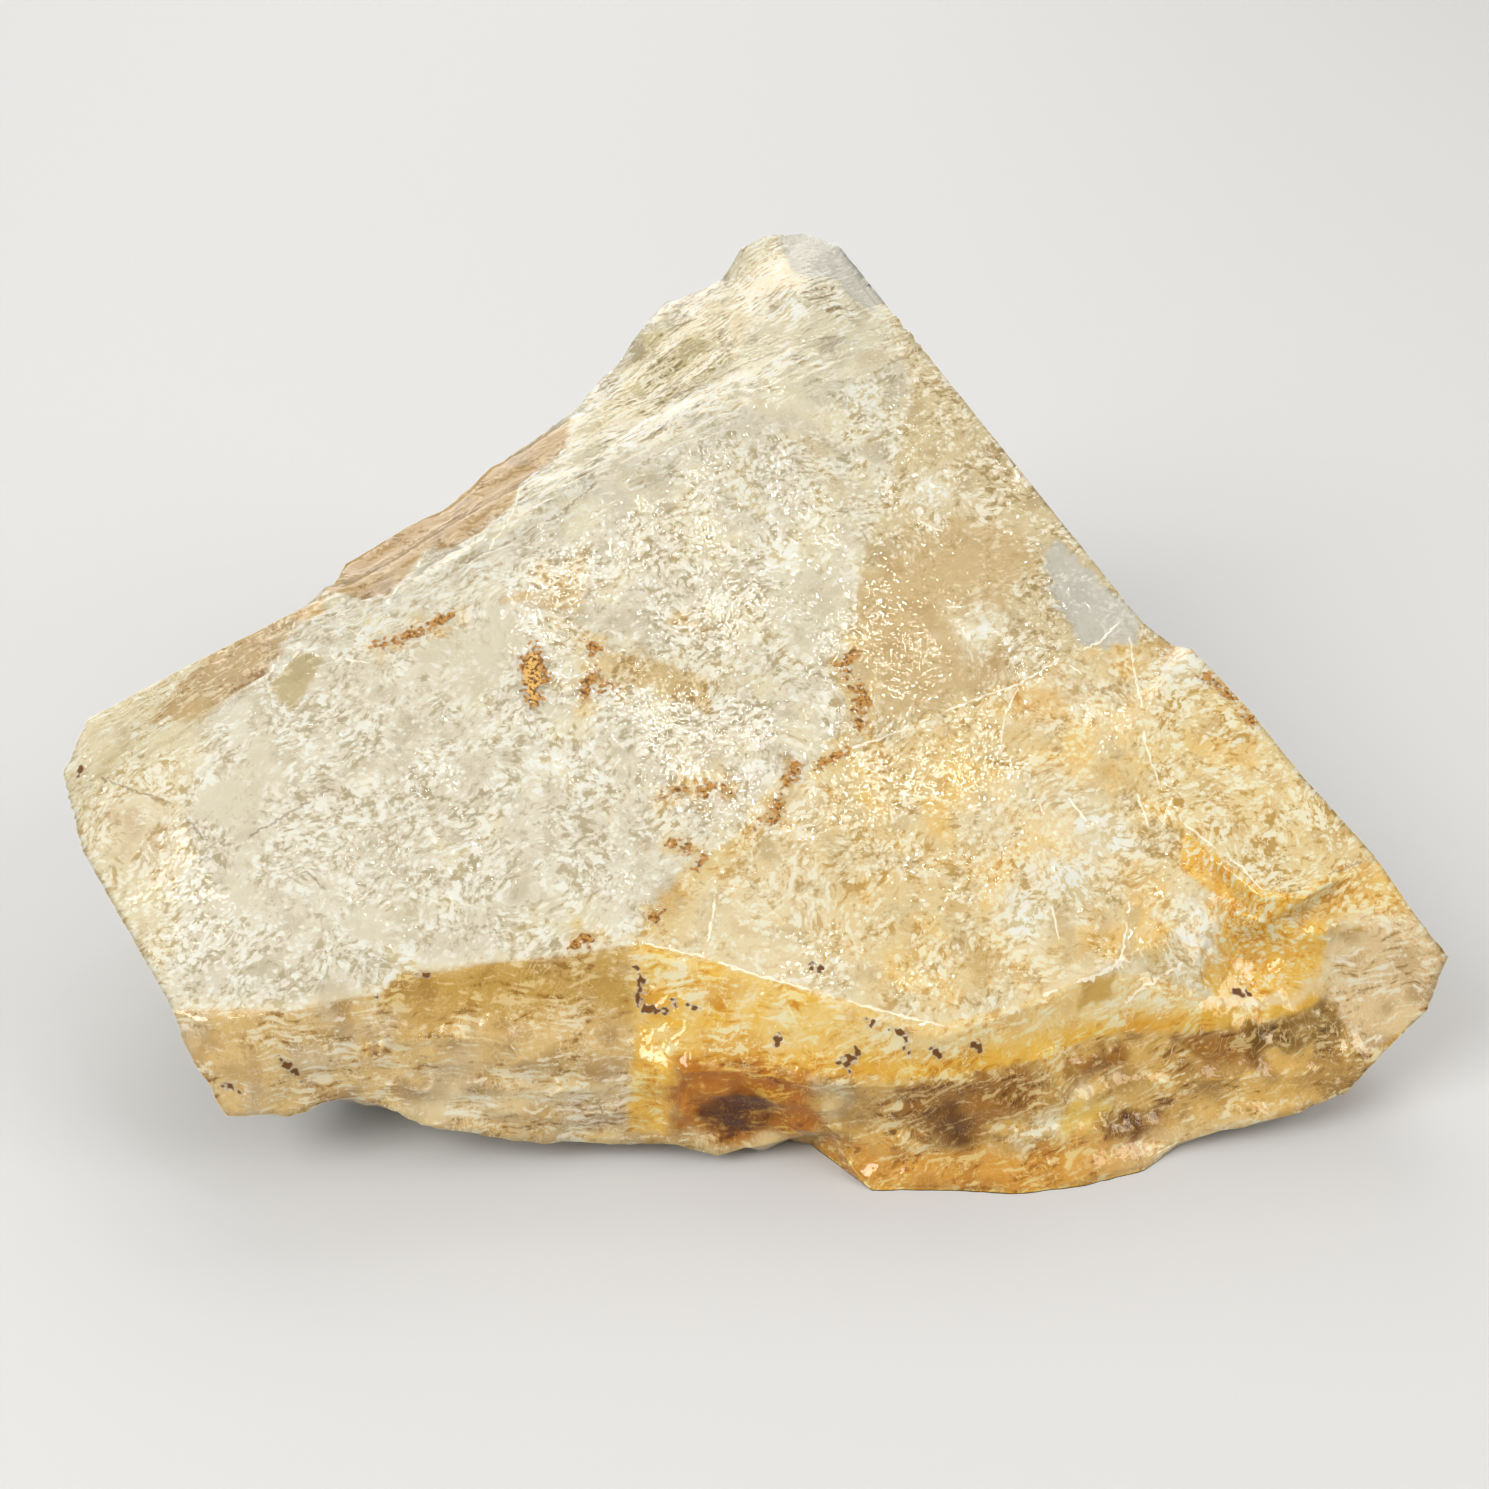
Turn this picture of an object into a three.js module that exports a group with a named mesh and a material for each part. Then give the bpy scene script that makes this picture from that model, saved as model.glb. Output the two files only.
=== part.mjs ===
// A Herkimer-type quartz crystal: a broken wedge of one large crystal, lying on its flat underside.
// Millimetres, +Z up, the front to -Y. The origin is the middle of the bounding box's bottom face.

import * as THREE from 'three';
import { ImprovedNoise } from 'three/addons/math/ImprovedNoise.js';

// Driving dimensions: the big top face is a tilted plane, and most of the rim lies close to it.
const topHeight = 26.4;      // height of the top plane above the rest face, at x = y = 0
const topRise = 0.51;        // its rise per millimetre toward the back
const topLean = - 0.04;      // its rise per millimetre toward the right
const ledgeHeight = 2.3;     // one layer of the broken front
const restClearance = 0.3;   // the rough faces stay at least this far above the rest face

// How evenly the mesh is cut
const angleGain = 0.01;      // a diagonal is swapped when it widens the thinnest angle by this, in radians
const swapPasses = 12;
const relaxPasses = 8;

// How each kind of face is finished: its longest mesh edge, and the height of its relief.
const finishes = {
	crystal: { edge: 7, relief: 0 },
	rest: { edge: 9, relief: 0 },
	grown: { edge: 3, relief: 0.45, pattern: swells },
	glassy: { edge: 2.6, relief: 0.35, pattern: swells },
	grooved: { edge: 2.2, relief: 0.5, pattern: grooves },
	broken: { edge: 3.2, relief: 0.8, pattern: shells },
	layered: { edge: 1.9, relief: 0.4, pattern: ledges },
};

const noise = new ImprovedNoise();

// A point measured from the top plane: lift is its height above the plane.
function top( x, y, lift = 0 ) {

	return new THREE.Vector3( x, y, topHeight + topLean * x + topRise * y + lift );

}

function at( x, y, z = 0 ) {

	return new THREE.Vector3( x, y, z );

}

const corners = {
	// the blunt apex, high at the back
	apexLeft: top( 2, 42.5, - 1.6 ),
	apexMid: top( 5.5, 42.2, - 1 ),
	apexRight: top( 8.5, 39.8 ),
	apexFacet: top( 4.9, 33.9, 0.6 ),

	// the straight right edge, down to the notch where the flake begins
	apexEdge: top( 12.4, 33.9 ),
	rightEdge: top( 15, 30.1 ),
	shoulder: top( 32, 4.4 ),
	notch: top( 34.4, 3, - 0.6 ),

	// the raised flake on the right
	flakeStart: top( 35.6, 1.7, 0.6 ),
	flakeOut1: top( 39.3, - 3.4, 1 ),
	flakeOut2: top( 42.8, - 8.8, 1 ),
	flakeOut3: top( 47.4, - 14.4, 0.6 ),
	flakeEnd: top( 45.6, - 16, 0.8 ),
	flakeRim1: top( 31.9, - 3.1, 0.5 ),
	flakeRim2: top( 33.4, - 13.7, 0.8 ),
	flakeRim3: top( 38.5, - 18.4, 1.2 ),
	flakeRim4: top( 41.4, - 18.3, 1.2 ),

	// the scoop broken out below the flake
	scoopLeft: top( 31.7, - 20.2 ),
	scoopBack: at( 38.7, - 18.5, 14.8 ),
	scoopRight: at( 41.5, - 18.2, 15 ),
	scoopFloor: at( 38.4, - 19.4, 11.4 ),

	// the clear block at the right end
	blockTop: at( 44.4, - 18.7, 14.7 ),
	blockSide: at( 43.5, - 21, 8.6 ),
	blockLow: at( 44.9, - 24, 6.5 ),
	blockOut: top( 50.1, - 18.6 ),
	rightTip: top( 52.2, - 20.6, - 1 ),
	rightLow: at( 50.9, - 22.1, 9 ),
	rightFoot: at( 47.3, - 24, 6 ),
	rightHeel: at( 44.9, - 24.8, 3.5 ),

	// the left termination
	leftRidge: top( - 34, 4.6, - 0.9 ),
	leftTop: top( - 43.2, 0.2, - 2 ),
	leftBack: top( - 51.3, - 4.1, - 3 ),
	leftTip: top( - 52.4, - 8.5, - 3 ),
	leftSide: top( - 49.6, - 15.2, - 2 ),
	leftLow: top( - 46, - 20.3, - 1.2 ),
	leftFront: top( - 40.6, - 28 ),
	tipCrest: top( - 49.6, - 10.6, - 1.4 ),
	termination1: top( - 42.2, - 14.7, 1.1 ),
	termination2: top( - 36.9, - 21.3, 1.2 ),

	// a small four-sided window on the termination
	windowTop: top( - 34.9, - 1.6, 0.3 ),
	windowLeft: top( - 37, - 5.2, 0.9 ),
	windowFront: top( - 34.4, - 6.6, 0.9 ),
	windowRight: top( - 33.8, - 2.4, 0.3 ),

	// the rough rim along the upper left, and the crest in front of it
	back1: top( - 32.7, 11.4, - 5 ),
	back2: top( - 25, 17.4, - 5 ),
	back3: top( - 18, 24.6, - 5 ),
	back4: top( - 14.5, 28.2, - 5.5 ),
	back5: top( - 10.9, 33.2, - 5 ),
	back6: top( - 7, 38.2, - 4.5 ),
	back7: top( - 2, 40.3, - 4 ),
	back8: top( 0, 41.6, - 2.5 ),
	crest1: top( - 27.9, 3.7, 0.6 ),
	crest2: top( - 20.7, 8.9, 1.2 ),
	crest3: top( - 8.7, 16.3, 1.6 ),
	crest4: top( 1.3, 22.5, 1.6 ),
	crest5: top( 9.1, 27.7, 0.8 ),

	// faint steps that cross the top face
	step1: top( 11.2, 12, 0.3 ),
	step2: top( 8.4, 0.2, 0.5 ),
	step3: top( 7.3, - 6.6, 0.2 ),
	step4: top( - 3.3, - 16.8, 0.4 ),
	stepRight: top( 23.4, - 1, 0.6 ),

	// the front edge of the top face
	edge0: top( - 38.4, - 28.9, 0.2 ),
	edge1: top( - 31.7, - 28.3, 0.6 ),
	edge2: top( - 25.9, - 26.4 ),
	edge3: top( - 22.8, - 24.9 ),
	edge4: top( - 7.8, - 23.3, 0.3 ),
	edge5: top( 1.1, - 25 ),
	edge6: top( 13.7, - 28.3 ),
	edge7: top( 21.5, - 25.6 ),
	edge8: top( 26.8, - 22.7 ),

	// the sill halfway down the broken front
	sillLeft: at( - 39, - 29.3, 10.3 ),
	sill1: at( - 36.2, - 30.2, 10.6 ),
	sill2: at( - 28, - 28.6, 11.2 ),
	sill3: at( - 20.2, - 27.9, 11.3 ),
	sill4: at( - 13.5, - 28.3, 10.3 ),
	sill5: at( - 7.8, - 27.5, 9 ),
	sill6: at( - 5.5, - 28.8, 8.6 ),
	sill7: at( - 0.3, - 28.5, 8.8 ),
	sill8: at( 4.7, - 29.6, 8.3 ),
	sill9: at( 15.6, - 29.2, 8 ),
	sill10: at( 22, - 27.7, 8.2 ),
	sill11: at( 26.6, - 25.4, 8.6 ),
	sill12: at( 33.9, - 24, 7.8 ),

	// the ragged lower edge of the front, from the left to the lobe
	hem1: at( - 36.8, - 31.2, 7 ),
	hem3: at( - 32.9, - 30.1, 6 ),
	hem4: at( - 28.2, - 29, 6.5 ),
	hem5: at( - 25.2, - 28.9, 5.5 ),
	hem6: at( - 23.4, - 29.3, 4.5 ),
	hem7: at( - 14.7, - 29.4, 2.5 ),
	hem8: at( - 9.2, - 28.5, 2 ),
	hem9: at( - 6, - 28.8, 2.1 ),
	hem10: at( - 2, - 29.1, 1.2 ),
	hem11: at( 0, - 28.9, 2 ),
	hem12: at( 6.2, - 29.1, 2.5 ),
	hem13: at( 7.8, - 30.5, 1.2 ),

	// the lobe that reaches the ground, and the chips to its right
	lobe1: at( 9.3, - 31.8 ),
	lobe2: at( 14.9, - 31.8 ),
	lobe3: at( 20, - 32.2 ),
	lobe4: at( 25, - 31.3 ),
	lobe5: at( 29.5, - 29.7 ),
	chip1: at( 30.5, - 28.6, 0.8 ),
	chip2: at( 33.6, - 27.4, 1.5 ),
	chip3: at( 40.1, - 26.1, 2.5 ),

	// the rest of the outline of the rest face
	restRight1: at( 36, - 24 ),
	restRight2: at( 43, - 11 ),
	restRight3: at( 35, 2 ),
	restBack1: at( 12, 37.8 ),
	restBack2: at( 4, 43 ),
	restBack3: at( - 9, 37 ),
	restLeft1: at( - 24, 19 ),
	restLeft2: at( - 32, 2 ),
	restLeft3: at( - 29.5, - 16 ),
	restFront1: at( - 10, - 23 ),
	restFront2: at( 5, - 27 ),

	// knuckles halfway down the broken back
	knuckle1: at( - 45, 3.5, 12 ),
	knuckle2: at( - 33.5, 17, 13 ),
	knuckle3: at( - 18, 31, 16 ),
	knuckle4: at( - 6, 42.5, 22 ),
};

// Each facet names its corners anticlockwise, as seen from outside.
const facets = [
	// the top
	facet( 'grown', 'apexLeft back8 back7 back6 crest4 crest5 rightEdge apexEdge apexFacet apexMid' ),
	facet( 'crystal', 'apexMid apexFacet apexEdge apexRight' ),
	facet( 'grooved', 'back6 back5 back4 back3 back2 back1 leftRidge crest1 crest2 crest3 crest4' ),
	facet( 'grown', 'rightEdge crest5 crest4 crest3 crest2 crest1 leftRidge windowTop windowRight ' +
		'windowFront windowLeft termination1 termination2 edge1 edge2 edge3 edge4 ' +
		'step4 step3 step2 step1' ),
	facet( 'grown', 'rightEdge step1 step2 step3 stepRight shoulder' ),
	facet( 'grown', 'step3 step4 edge4 edge5 edge6 edge7 edge8 scoopLeft flakeRim2 flakeRim1 ' +
		'notch shoulder stepRight' ),

	// the left termination
	facet( 'crystal', 'leftRidge leftTop leftBack tipCrest termination1 windowLeft windowTop' ),
	facet( 'crystal', 'windowTop windowLeft windowFront windowRight' ),
	facet( 'crystal', 'leftBack leftTip tipCrest' ),
	facet( 'crystal', 'tipCrest leftTip leftSide leftLow leftFront edge0 edge1 termination2 ' +
		'termination1' ),

	// the flake, its broken edge and the scoop
	facet( 'broken', 'notch flakeRim1 flakeStart' ),
	facet( 'grown', 'flakeStart flakeRim1 flakeRim2 flakeRim3 flakeRim4 flakeEnd flakeOut3 ' +
		'flakeOut2 flakeOut1' ),
	facet( 'broken', 'flakeRim2 scoopBack flakeRim3' ),
	facet( 'broken', 'flakeRim3 scoopBack scoopRight flakeRim4' ),
	facet( 'broken', 'flakeRim4 scoopRight flakeEnd' ),
	facet( 'broken', 'flakeRim2 scoopLeft scoopFloor scoopBack' ),
	facet( 'broken', 'scoopBack scoopFloor blockTop scoopRight' ),
	facet( 'broken', 'scoopLeft edge8 sill11 sill12 scoopFloor' ),
	facet( 'broken', 'scoopFloor sill12 blockSide blockTop' ),

	// the clear block
	facet( 'crystal', 'flakeEnd scoopRight blockTop rightTip blockOut flakeOut3' ),
	facet( 'crystal', 'blockTop blockSide blockLow rightFoot rightLow rightTip' ),
	facet( 'broken', 'blockLow rightHeel rightFoot' ),

	// the front
	facet( 'glassy', 'edge0 leftFront sillLeft sill1 sill2 sill3 sill4 sill5 edge4 edge3 edge2 ' +
		'edge1' ),
	facet( 'layered', 'sill1 sillLeft hem1 hem3 hem4 hem5 hem6 hem7 hem8 hem9 sill5 sill4 ' +
		'sill3 sill2' ),
	facet( 'glassy', 'edge4 sill5 sill6 sill7 sill8 sill9 sill10 sill11 edge8 edge7 edge6 edge5' ),
	facet( 'layered', 'sill5 hem9 hem10 hem11 hem12 sill8 sill7 sill6' ),
	facet( 'layered', 'sill8 hem12 hem13 lobe1 lobe2 lobe3 lobe4 lobe5 chip1 sill11 sill10 sill9' ),
	facet( 'layered', 'sill11 chip1 chip2 chip3 rightHeel blockLow blockSide sill12' ),

	// the underside
	facet( 'rest', 'restLeft3 restLeft2 restLeft1 restBack3 restBack2 restBack1 restRight3 ' +
		'restRight2 restRight1 lobe5 lobe4 lobe3 lobe2 lobe1 restFront2 restFront1' ),
	facet( 'crystal', 'leftFront leftLow leftSide leftTip restLeft2 restLeft3' ),
	facet( 'broken', 'hem1 sillLeft leftFront restLeft3' ),
	facet( 'broken', 'hem9 hem8 hem7 hem6 hem5 hem4 hem3 hem1 restLeft3 restFront1' ),
	facet( 'broken', 'lobe1 hem13 hem12 hem11 hem10 hem9 restFront1 restFront2' ),
	facet( 'broken', 'rightHeel chip3 chip2 chip1 lobe5 restRight1' ),
	facet( 'broken', 'rightTip rightLow rightFoot rightHeel restRight1 restRight2' ),

	// the right and the back
	facet( 'crystal', 'apexRight apexEdge rightEdge shoulder restRight3 restBack1' ),
	facet( 'crystal', 'shoulder notch flakeStart flakeOut1 flakeOut2 flakeOut3 blockOut rightTip ' +
		'restRight2 restRight3' ),
	facet( 'crystal', 'apexLeft apexMid apexRight restBack1 restBack2' ),
	facet( 'broken', 'leftTip leftBack knuckle1' ),
	facet( 'broken', 'leftBack leftTop leftRidge back1 knuckle2 knuckle1' ),
	facet( 'broken', 'leftTip knuckle1 knuckle2 restLeft1 restLeft2' ),
	facet( 'broken', 'back1 back2 back3 knuckle3 knuckle2' ),
	facet( 'broken', 'knuckle2 knuckle3 restBack3 restLeft1' ),
	facet( 'broken', 'back3 back4 back5 back6 back7 knuckle4 knuckle3' ),
	facet( 'broken', 'knuckle3 knuckle4 restBack2 restBack3' ),
	facet( 'broken', 'back7 back8 apexLeft restBack2 knuckle4' ),
];

function facet( finish, names ) {

	return { finish: finishes[ finish ], names: names.split( ' ' ) };

}

// Relief patterns, each about -1 to 1 at a point.

function layeredNoise( point, size ) {

	const { x, y, z } = point;
	const coarse = noise.noise( x / size, y / size, z / size );
	const fine = noise.noise( 2.3 * x / size, 2.3 * y / size, 2.3 * z / size + 5 );
	return coarse + 0.45 * fine;

}

function swells( point ) {

	return layeredNoise( point, 13 );

}

// Long furrows that run along the upper left rim.
function grooves( point ) {

	const across = 0.8 * point.y - 0.6 * point.x;
	const furrow = Math.sin( across * 1.35 + 1.5 * layeredNoise( point, 15 ) );
	return 0.7 * furrow + 0.6 * layeredNoise( point, 8 );

}

// Shell-shaped hollows with sharp ribs between them.
function shells( point ) {

	return 1 - 2.4 * Math.abs( layeredNoise( point, 11 ) );

}

// Layers that stand out a little, each over the one below it.
function ledges( point ) {

	const level = ( point.z + 0.04 * point.x + 0.9 * layeredNoise( point, 16 ) ) / ledgeHeight;
	const rise = level - Math.floor( level );
	return 1.3 * rise * rise - 0.5 + 0.5 * layeredNoise( point, 9 );

}

// The outward direction of a polygon, by Newell's sum.
function polygonNormal( points ) {

	const sum = new THREE.Vector3();
	points.forEach( ( point, i ) => {

		sum.add( new THREE.Vector3().crossVectors( point, points[ ( i + 1 ) % points.length ] ) );

	} );
	return sum.normalize();

}

// Gives a function that lays points flat, as seen against the facet's outward direction.
function flattener( normal ) {

	const lead = Math.abs( normal.x ) < 0.7 ? at( 1, 0, 0 ) : at( 0, 1, 0 );
	const across = new THREE.Vector3().crossVectors( lead, normal ).normalize();
	const along = new THREE.Vector3().crossVectors( normal, across );
	return ( point ) => new THREE.Vector2( point.dot( across ), point.dot( along ) );

}

const edgeKey = ( a, b ) => ( a < b ? `${ a }_${ b }` : `${ b }_${ a }` );

// The coarse mesh: every corner once, triangles that remember their facet, and the facets' rims
// with the longest edge that the faces on both sides allow.
function coarseMesh() {

	const names = Object.keys( corners );
	const vertices = names.map( ( name ) => corners[ name ].clone() );
	const mesh = { vertices, triangles: [], rims: new Map(), flatten: [] };
	facets.forEach( ( face, facetIndex ) => {

		const loop = face.names.map( ( name ) => names.indexOf( name ) );
		const points = loop.map( ( k ) => vertices[ k ] );
		const flatten = flattener( polygonNormal( points ) );
		mesh.flatten.push( flatten );
		for ( const cut of THREE.ShapeUtils.triangulateShape( points.map( flatten ), [] ) ) {

			mesh.triangles.push( { ids: cut.map( ( k ) => loop[ k ] ), facetIndex } );

		}

		loop.forEach( ( k, i ) => {

			const key = edgeKey( k, loop[ ( i + 1 ) % loop.length ] );
			mesh.rims.set( key, Math.min( face.finish.edge, mesh.rims.get( key ) ?? Infinity ) );

		} );

	} );
	return mesh;

}

// A rim edge belongs to both of its facets, and any other edge to one facet only.
function keyIn( mesh, facetIndex, a, b ) {

	const key = edgeKey( a, b );
	return mesh.rims.has( key ) ? key : `${ key }_${ facetIndex }`;

}

// Halves every edge longer than its faces allow. Says whether any was.
function splitLongEdges( mesh ) {

	const middles = new Map();
	for ( const { ids, facetIndex } of mesh.triangles ) {

		ids.forEach( ( a, i ) => {

			const b = ids[ ( i + 1 ) % 3 ];
			const key = keyIn( mesh, facetIndex, a, b );
			const limit = mesh.rims.get( key ) ?? facets[ facetIndex ].finish.edge;
			const [ start, end ] = [ mesh.vertices[ a ], mesh.vertices[ b ] ];
			if ( middles.has( key ) || start.distanceTo( end ) <= limit ) return;
			middles.set( key, mesh.vertices.push( start.clone().lerp( end, 0.5 ) ) - 1 );

		} );

	}

	mesh.triangles = mesh.triangles.flatMap( ( triangle ) => splitTriangle( mesh, triangle, middles ) );
	for ( const [ key, middle ] of middles ) {

		const limit = mesh.rims.get( key );
		if ( limit === undefined ) continue;
		key.split( '_' ).forEach( ( end ) => mesh.rims.set( edgeKey( Number( end ), middle ), limit ) );

	}

	return middles.size > 0;

}

// One triangle, cut by the middles of its long edges into one to four.
function splitTriangle( mesh, { ids, facetIndex }, middles ) {

	const middle = ids.map( ( a, i ) => middles.get( keyIn( mesh, facetIndex, a, ids[ ( i + 1 ) % 3 ] ) ) );
	const count = middle.filter( ( m ) => m !== undefined ).length;
	const turn = firstSide( middle, count );
	const [ a, b, c ] = [ 0, 1, 2 ].map( ( k ) => ids[ ( k + turn ) % 3 ] );
	const [ ab, bc, ca ] = [ 0, 1, 2 ].map( ( k ) => middle[ ( k + turn ) % 3 ] );
	const pieces = [
		[ [ a, b, c ] ],
		[ [ a, ab, c ], [ ab, b, c ] ],
		[ [ ab, b, bc ], [ a, ab, bc ], [ a, bc, c ] ],
		[ [ a, ab, ca ], [ ab, b, bc ], [ ca, bc, c ], [ ab, bc, ca ] ],
	][ count ];
	return pieces.map( ( triple ) => ( { ids: triple, facetIndex } ) );

}

// Where to start counting sides, so that the divided ones come first.
function firstSide( middle, count ) {

	if ( count === 1 ) return middle.findIndex( ( m ) => m !== undefined );
	if ( count === 2 ) return ( middle.findIndex( ( m ) => m === undefined ) + 1 ) % 3;
	return 0;

}

// The smallest angle of a flat triangle, below zero when it is turned over.
function smallestAngle( p, q, r ) {

	const turn = q.clone().sub( p ).cross( r.clone().sub( p ) );
	const angle = ( a, b, c ) => Math.abs( b.clone().sub( a ).angleTo( c.clone().sub( a ) ) );
	return Math.sign( turn ) * Math.min( angle( p, q, r ), angle( q, r, p ), angle( r, p, q ) );

}

// Swaps the diagonal of two triangles of one facet where that makes the thinner one rounder.
function swapThinDiagonals( mesh ) {

	const sides = new Map();
	for ( const triangle of mesh.triangles ) {

		triangle.ids.forEach( ( a, i ) => {

			const [ b, c ] = [ triangle.ids[ ( i + 1 ) % 3 ], triangle.ids[ ( i + 2 ) % 3 ] ];
			const key = keyIn( mesh, triangle.facetIndex, a, b );
			if ( ! sides.has( key ) ) sides.set( key, [] );
			sides.get( key ).push( { triangle, a, b, c } );

		} );

	}

	const changed = new Set();
	for ( const [ key, [ one, two ] ] of sides ) {

		const crossing = keyIn( mesh, one.triangle.facetIndex, one.c, two.c );
		if ( mesh.rims.has( key ) || sides.has( crossing ) || changed.has( crossing ) ) continue;
		if ( changed.has( one.triangle ) || changed.has( two.triangle ) ) continue;
		if ( ! swapHelps( mesh, one, two ) ) continue;
		one.triangle.ids = [ one.a, two.c, one.c ];
		two.triangle.ids = [ two.c, one.b, one.c ];
		changed.add( one.triangle ).add( two.triangle ).add( crossing );

	}

	return changed.size > 0;

}

function swapHelps( mesh, one, two ) {

	const flatten = mesh.flatten[ one.triangle.facetIndex ];
	const [ a, b, c, d ] = [ one.a, one.b, one.c, two.c ].map( ( k ) => flatten( mesh.vertices[ k ] ) );
	const before = Math.min( smallestAngle( a, b, c ), smallestAngle( b, a, d ) );
	const after = Math.min( smallestAngle( a, d, c ), smallestAngle( d, b, c ) );
	return after > before + angleGain;

}

// Draws each vertex inside a facet to the mean of its neighbours, with the rims held.
function relax( mesh ) {

	const onRim = new Set( [ ...mesh.rims.keys() ].flatMap( ( key ) => key.split( '_' ).map( Number ) ) );
	const near = mesh.vertices.map( () => new Set() );
	for ( const { ids } of mesh.triangles ) {

		ids.forEach( ( k, i ) => near[ k ].add( ids[ ( i + 1 ) % 3 ] ) );

	}

	mesh.vertices.forEach( ( vertex, k ) => {

		if ( onRim.has( k ) ) return;
		vertex.set( 0, 0, 0 );
		near[ k ].forEach( ( other ) => vertex.addScaledVector( mesh.vertices[ other ], 1 / near[ k ].size ) );

	} );

}

function swapUntilRound( mesh ) {

	for ( let pass = 0; pass < swapPasses && swapThinDiagonals( mesh ); pass ++ );

}

function refine( mesh ) {

	swapUntilRound( mesh );
	while ( splitLongEdges( mesh ) ) swapUntilRound( mesh );
	for ( let pass = 0; pass < relaxPasses; pass ++ ) {

		relax( mesh );
		swapUntilRound( mesh );

	}

}

// Pushes each vertex along its normal by its faces' relief. Flat faces keep their vertices.
function addRelief( mesh ) {

	const normals = mesh.vertices.map( () => new THREE.Vector3() );
	const touching = mesh.vertices.map( () => new Set() );
	for ( const { ids, facetIndex } of mesh.triangles ) {

		const [ p, q, r ] = ids.map( ( k ) => mesh.vertices[ k ] );
		const normal = new THREE.Triangle( p, q, r ).getNormal( new THREE.Vector3() );
		ids.forEach( ( k ) => {

			normals[ k ].add( normal );
			touching[ k ].add( facets[ facetIndex ].finish );

		} );

	}

	mesh.vertices.forEach( ( vertex, k ) => {

		const styles = [ ...touching[ k ] ];
		if ( styles.some( ( style ) => style.relief === 0 ) ) return;
		const heights = styles.map( ( style ) => style.relief * style.pattern( vertex ) );
		const height = heights.reduce( ( sum, value ) => sum + value, 0 ) / heights.length;
		vertex.addScaledVector( normals[ k ].normalize(), height );
		vertex.z = Math.max( vertex.z, restClearance );

	} );

}

function crystalGeometry() {

	const mesh = coarseMesh();
	refine( mesh );
	addRelief( mesh );
	const geometry = new THREE.BufferGeometry().setFromPoints( mesh.vertices );
	geometry.setIndex( mesh.triangles.flatMap( ( triangle ) => triangle.ids ) );
	geometry.computeBoundingBox();
	const { min, max } = geometry.boundingBox;
	geometry.translate( - ( min.x + max.x ) / 2, - ( min.y + max.y ) / 2, - min.z );
	geometry.computeVertexNormals();
	return geometry;

}

const quartz = new THREE.MeshStandardMaterial( { color: '#d9c79a', roughness: 0.25, metalness: 0 } );
const crystal = new THREE.Mesh( crystalGeometry(), quartz );
crystal.name = 'quartz_crystal';

const part = new THREE.Group();
part.add( crystal );

export default part;
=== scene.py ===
import math

import bmesh
import bpy
import numpy as np
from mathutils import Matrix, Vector, noise
from mathutils.bvhtree import BVHTree


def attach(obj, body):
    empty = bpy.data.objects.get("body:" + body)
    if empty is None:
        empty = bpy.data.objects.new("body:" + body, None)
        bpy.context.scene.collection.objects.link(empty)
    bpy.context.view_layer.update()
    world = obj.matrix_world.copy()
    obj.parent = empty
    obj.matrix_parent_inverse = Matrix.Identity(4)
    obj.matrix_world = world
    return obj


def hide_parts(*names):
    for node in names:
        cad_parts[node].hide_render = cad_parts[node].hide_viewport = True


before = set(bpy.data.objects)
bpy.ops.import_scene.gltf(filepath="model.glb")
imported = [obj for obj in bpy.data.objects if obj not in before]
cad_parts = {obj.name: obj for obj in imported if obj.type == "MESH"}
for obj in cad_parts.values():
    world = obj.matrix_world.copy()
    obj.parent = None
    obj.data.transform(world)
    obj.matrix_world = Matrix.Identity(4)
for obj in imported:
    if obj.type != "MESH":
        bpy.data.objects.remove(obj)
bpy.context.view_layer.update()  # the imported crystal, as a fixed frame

mm = 0.001
fleckSeed = 7
noise.seed_set(fleckSeed)  # unseeded, the noise vectors follow the clock and differ in each run
print("frame loaded")


class Wire:
    # one output of a node, which adds and multiplies like a number
    def __init__(self, look, socket):
        self.look = look
        self.socket = socket

    def __add__(self, other):
        return self.look.maths("ADD", self, other)

    def __sub__(self, other):
        return self.look.maths("SUBTRACT", self, other)

    def __rsub__(self, other):
        return self.look.maths("SUBTRACT", other, self)

    def __mul__(self, other):
        return self.look.maths("MULTIPLY", self, other)

    __radd__ = __add__
    __rmul__ = __mul__


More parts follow.
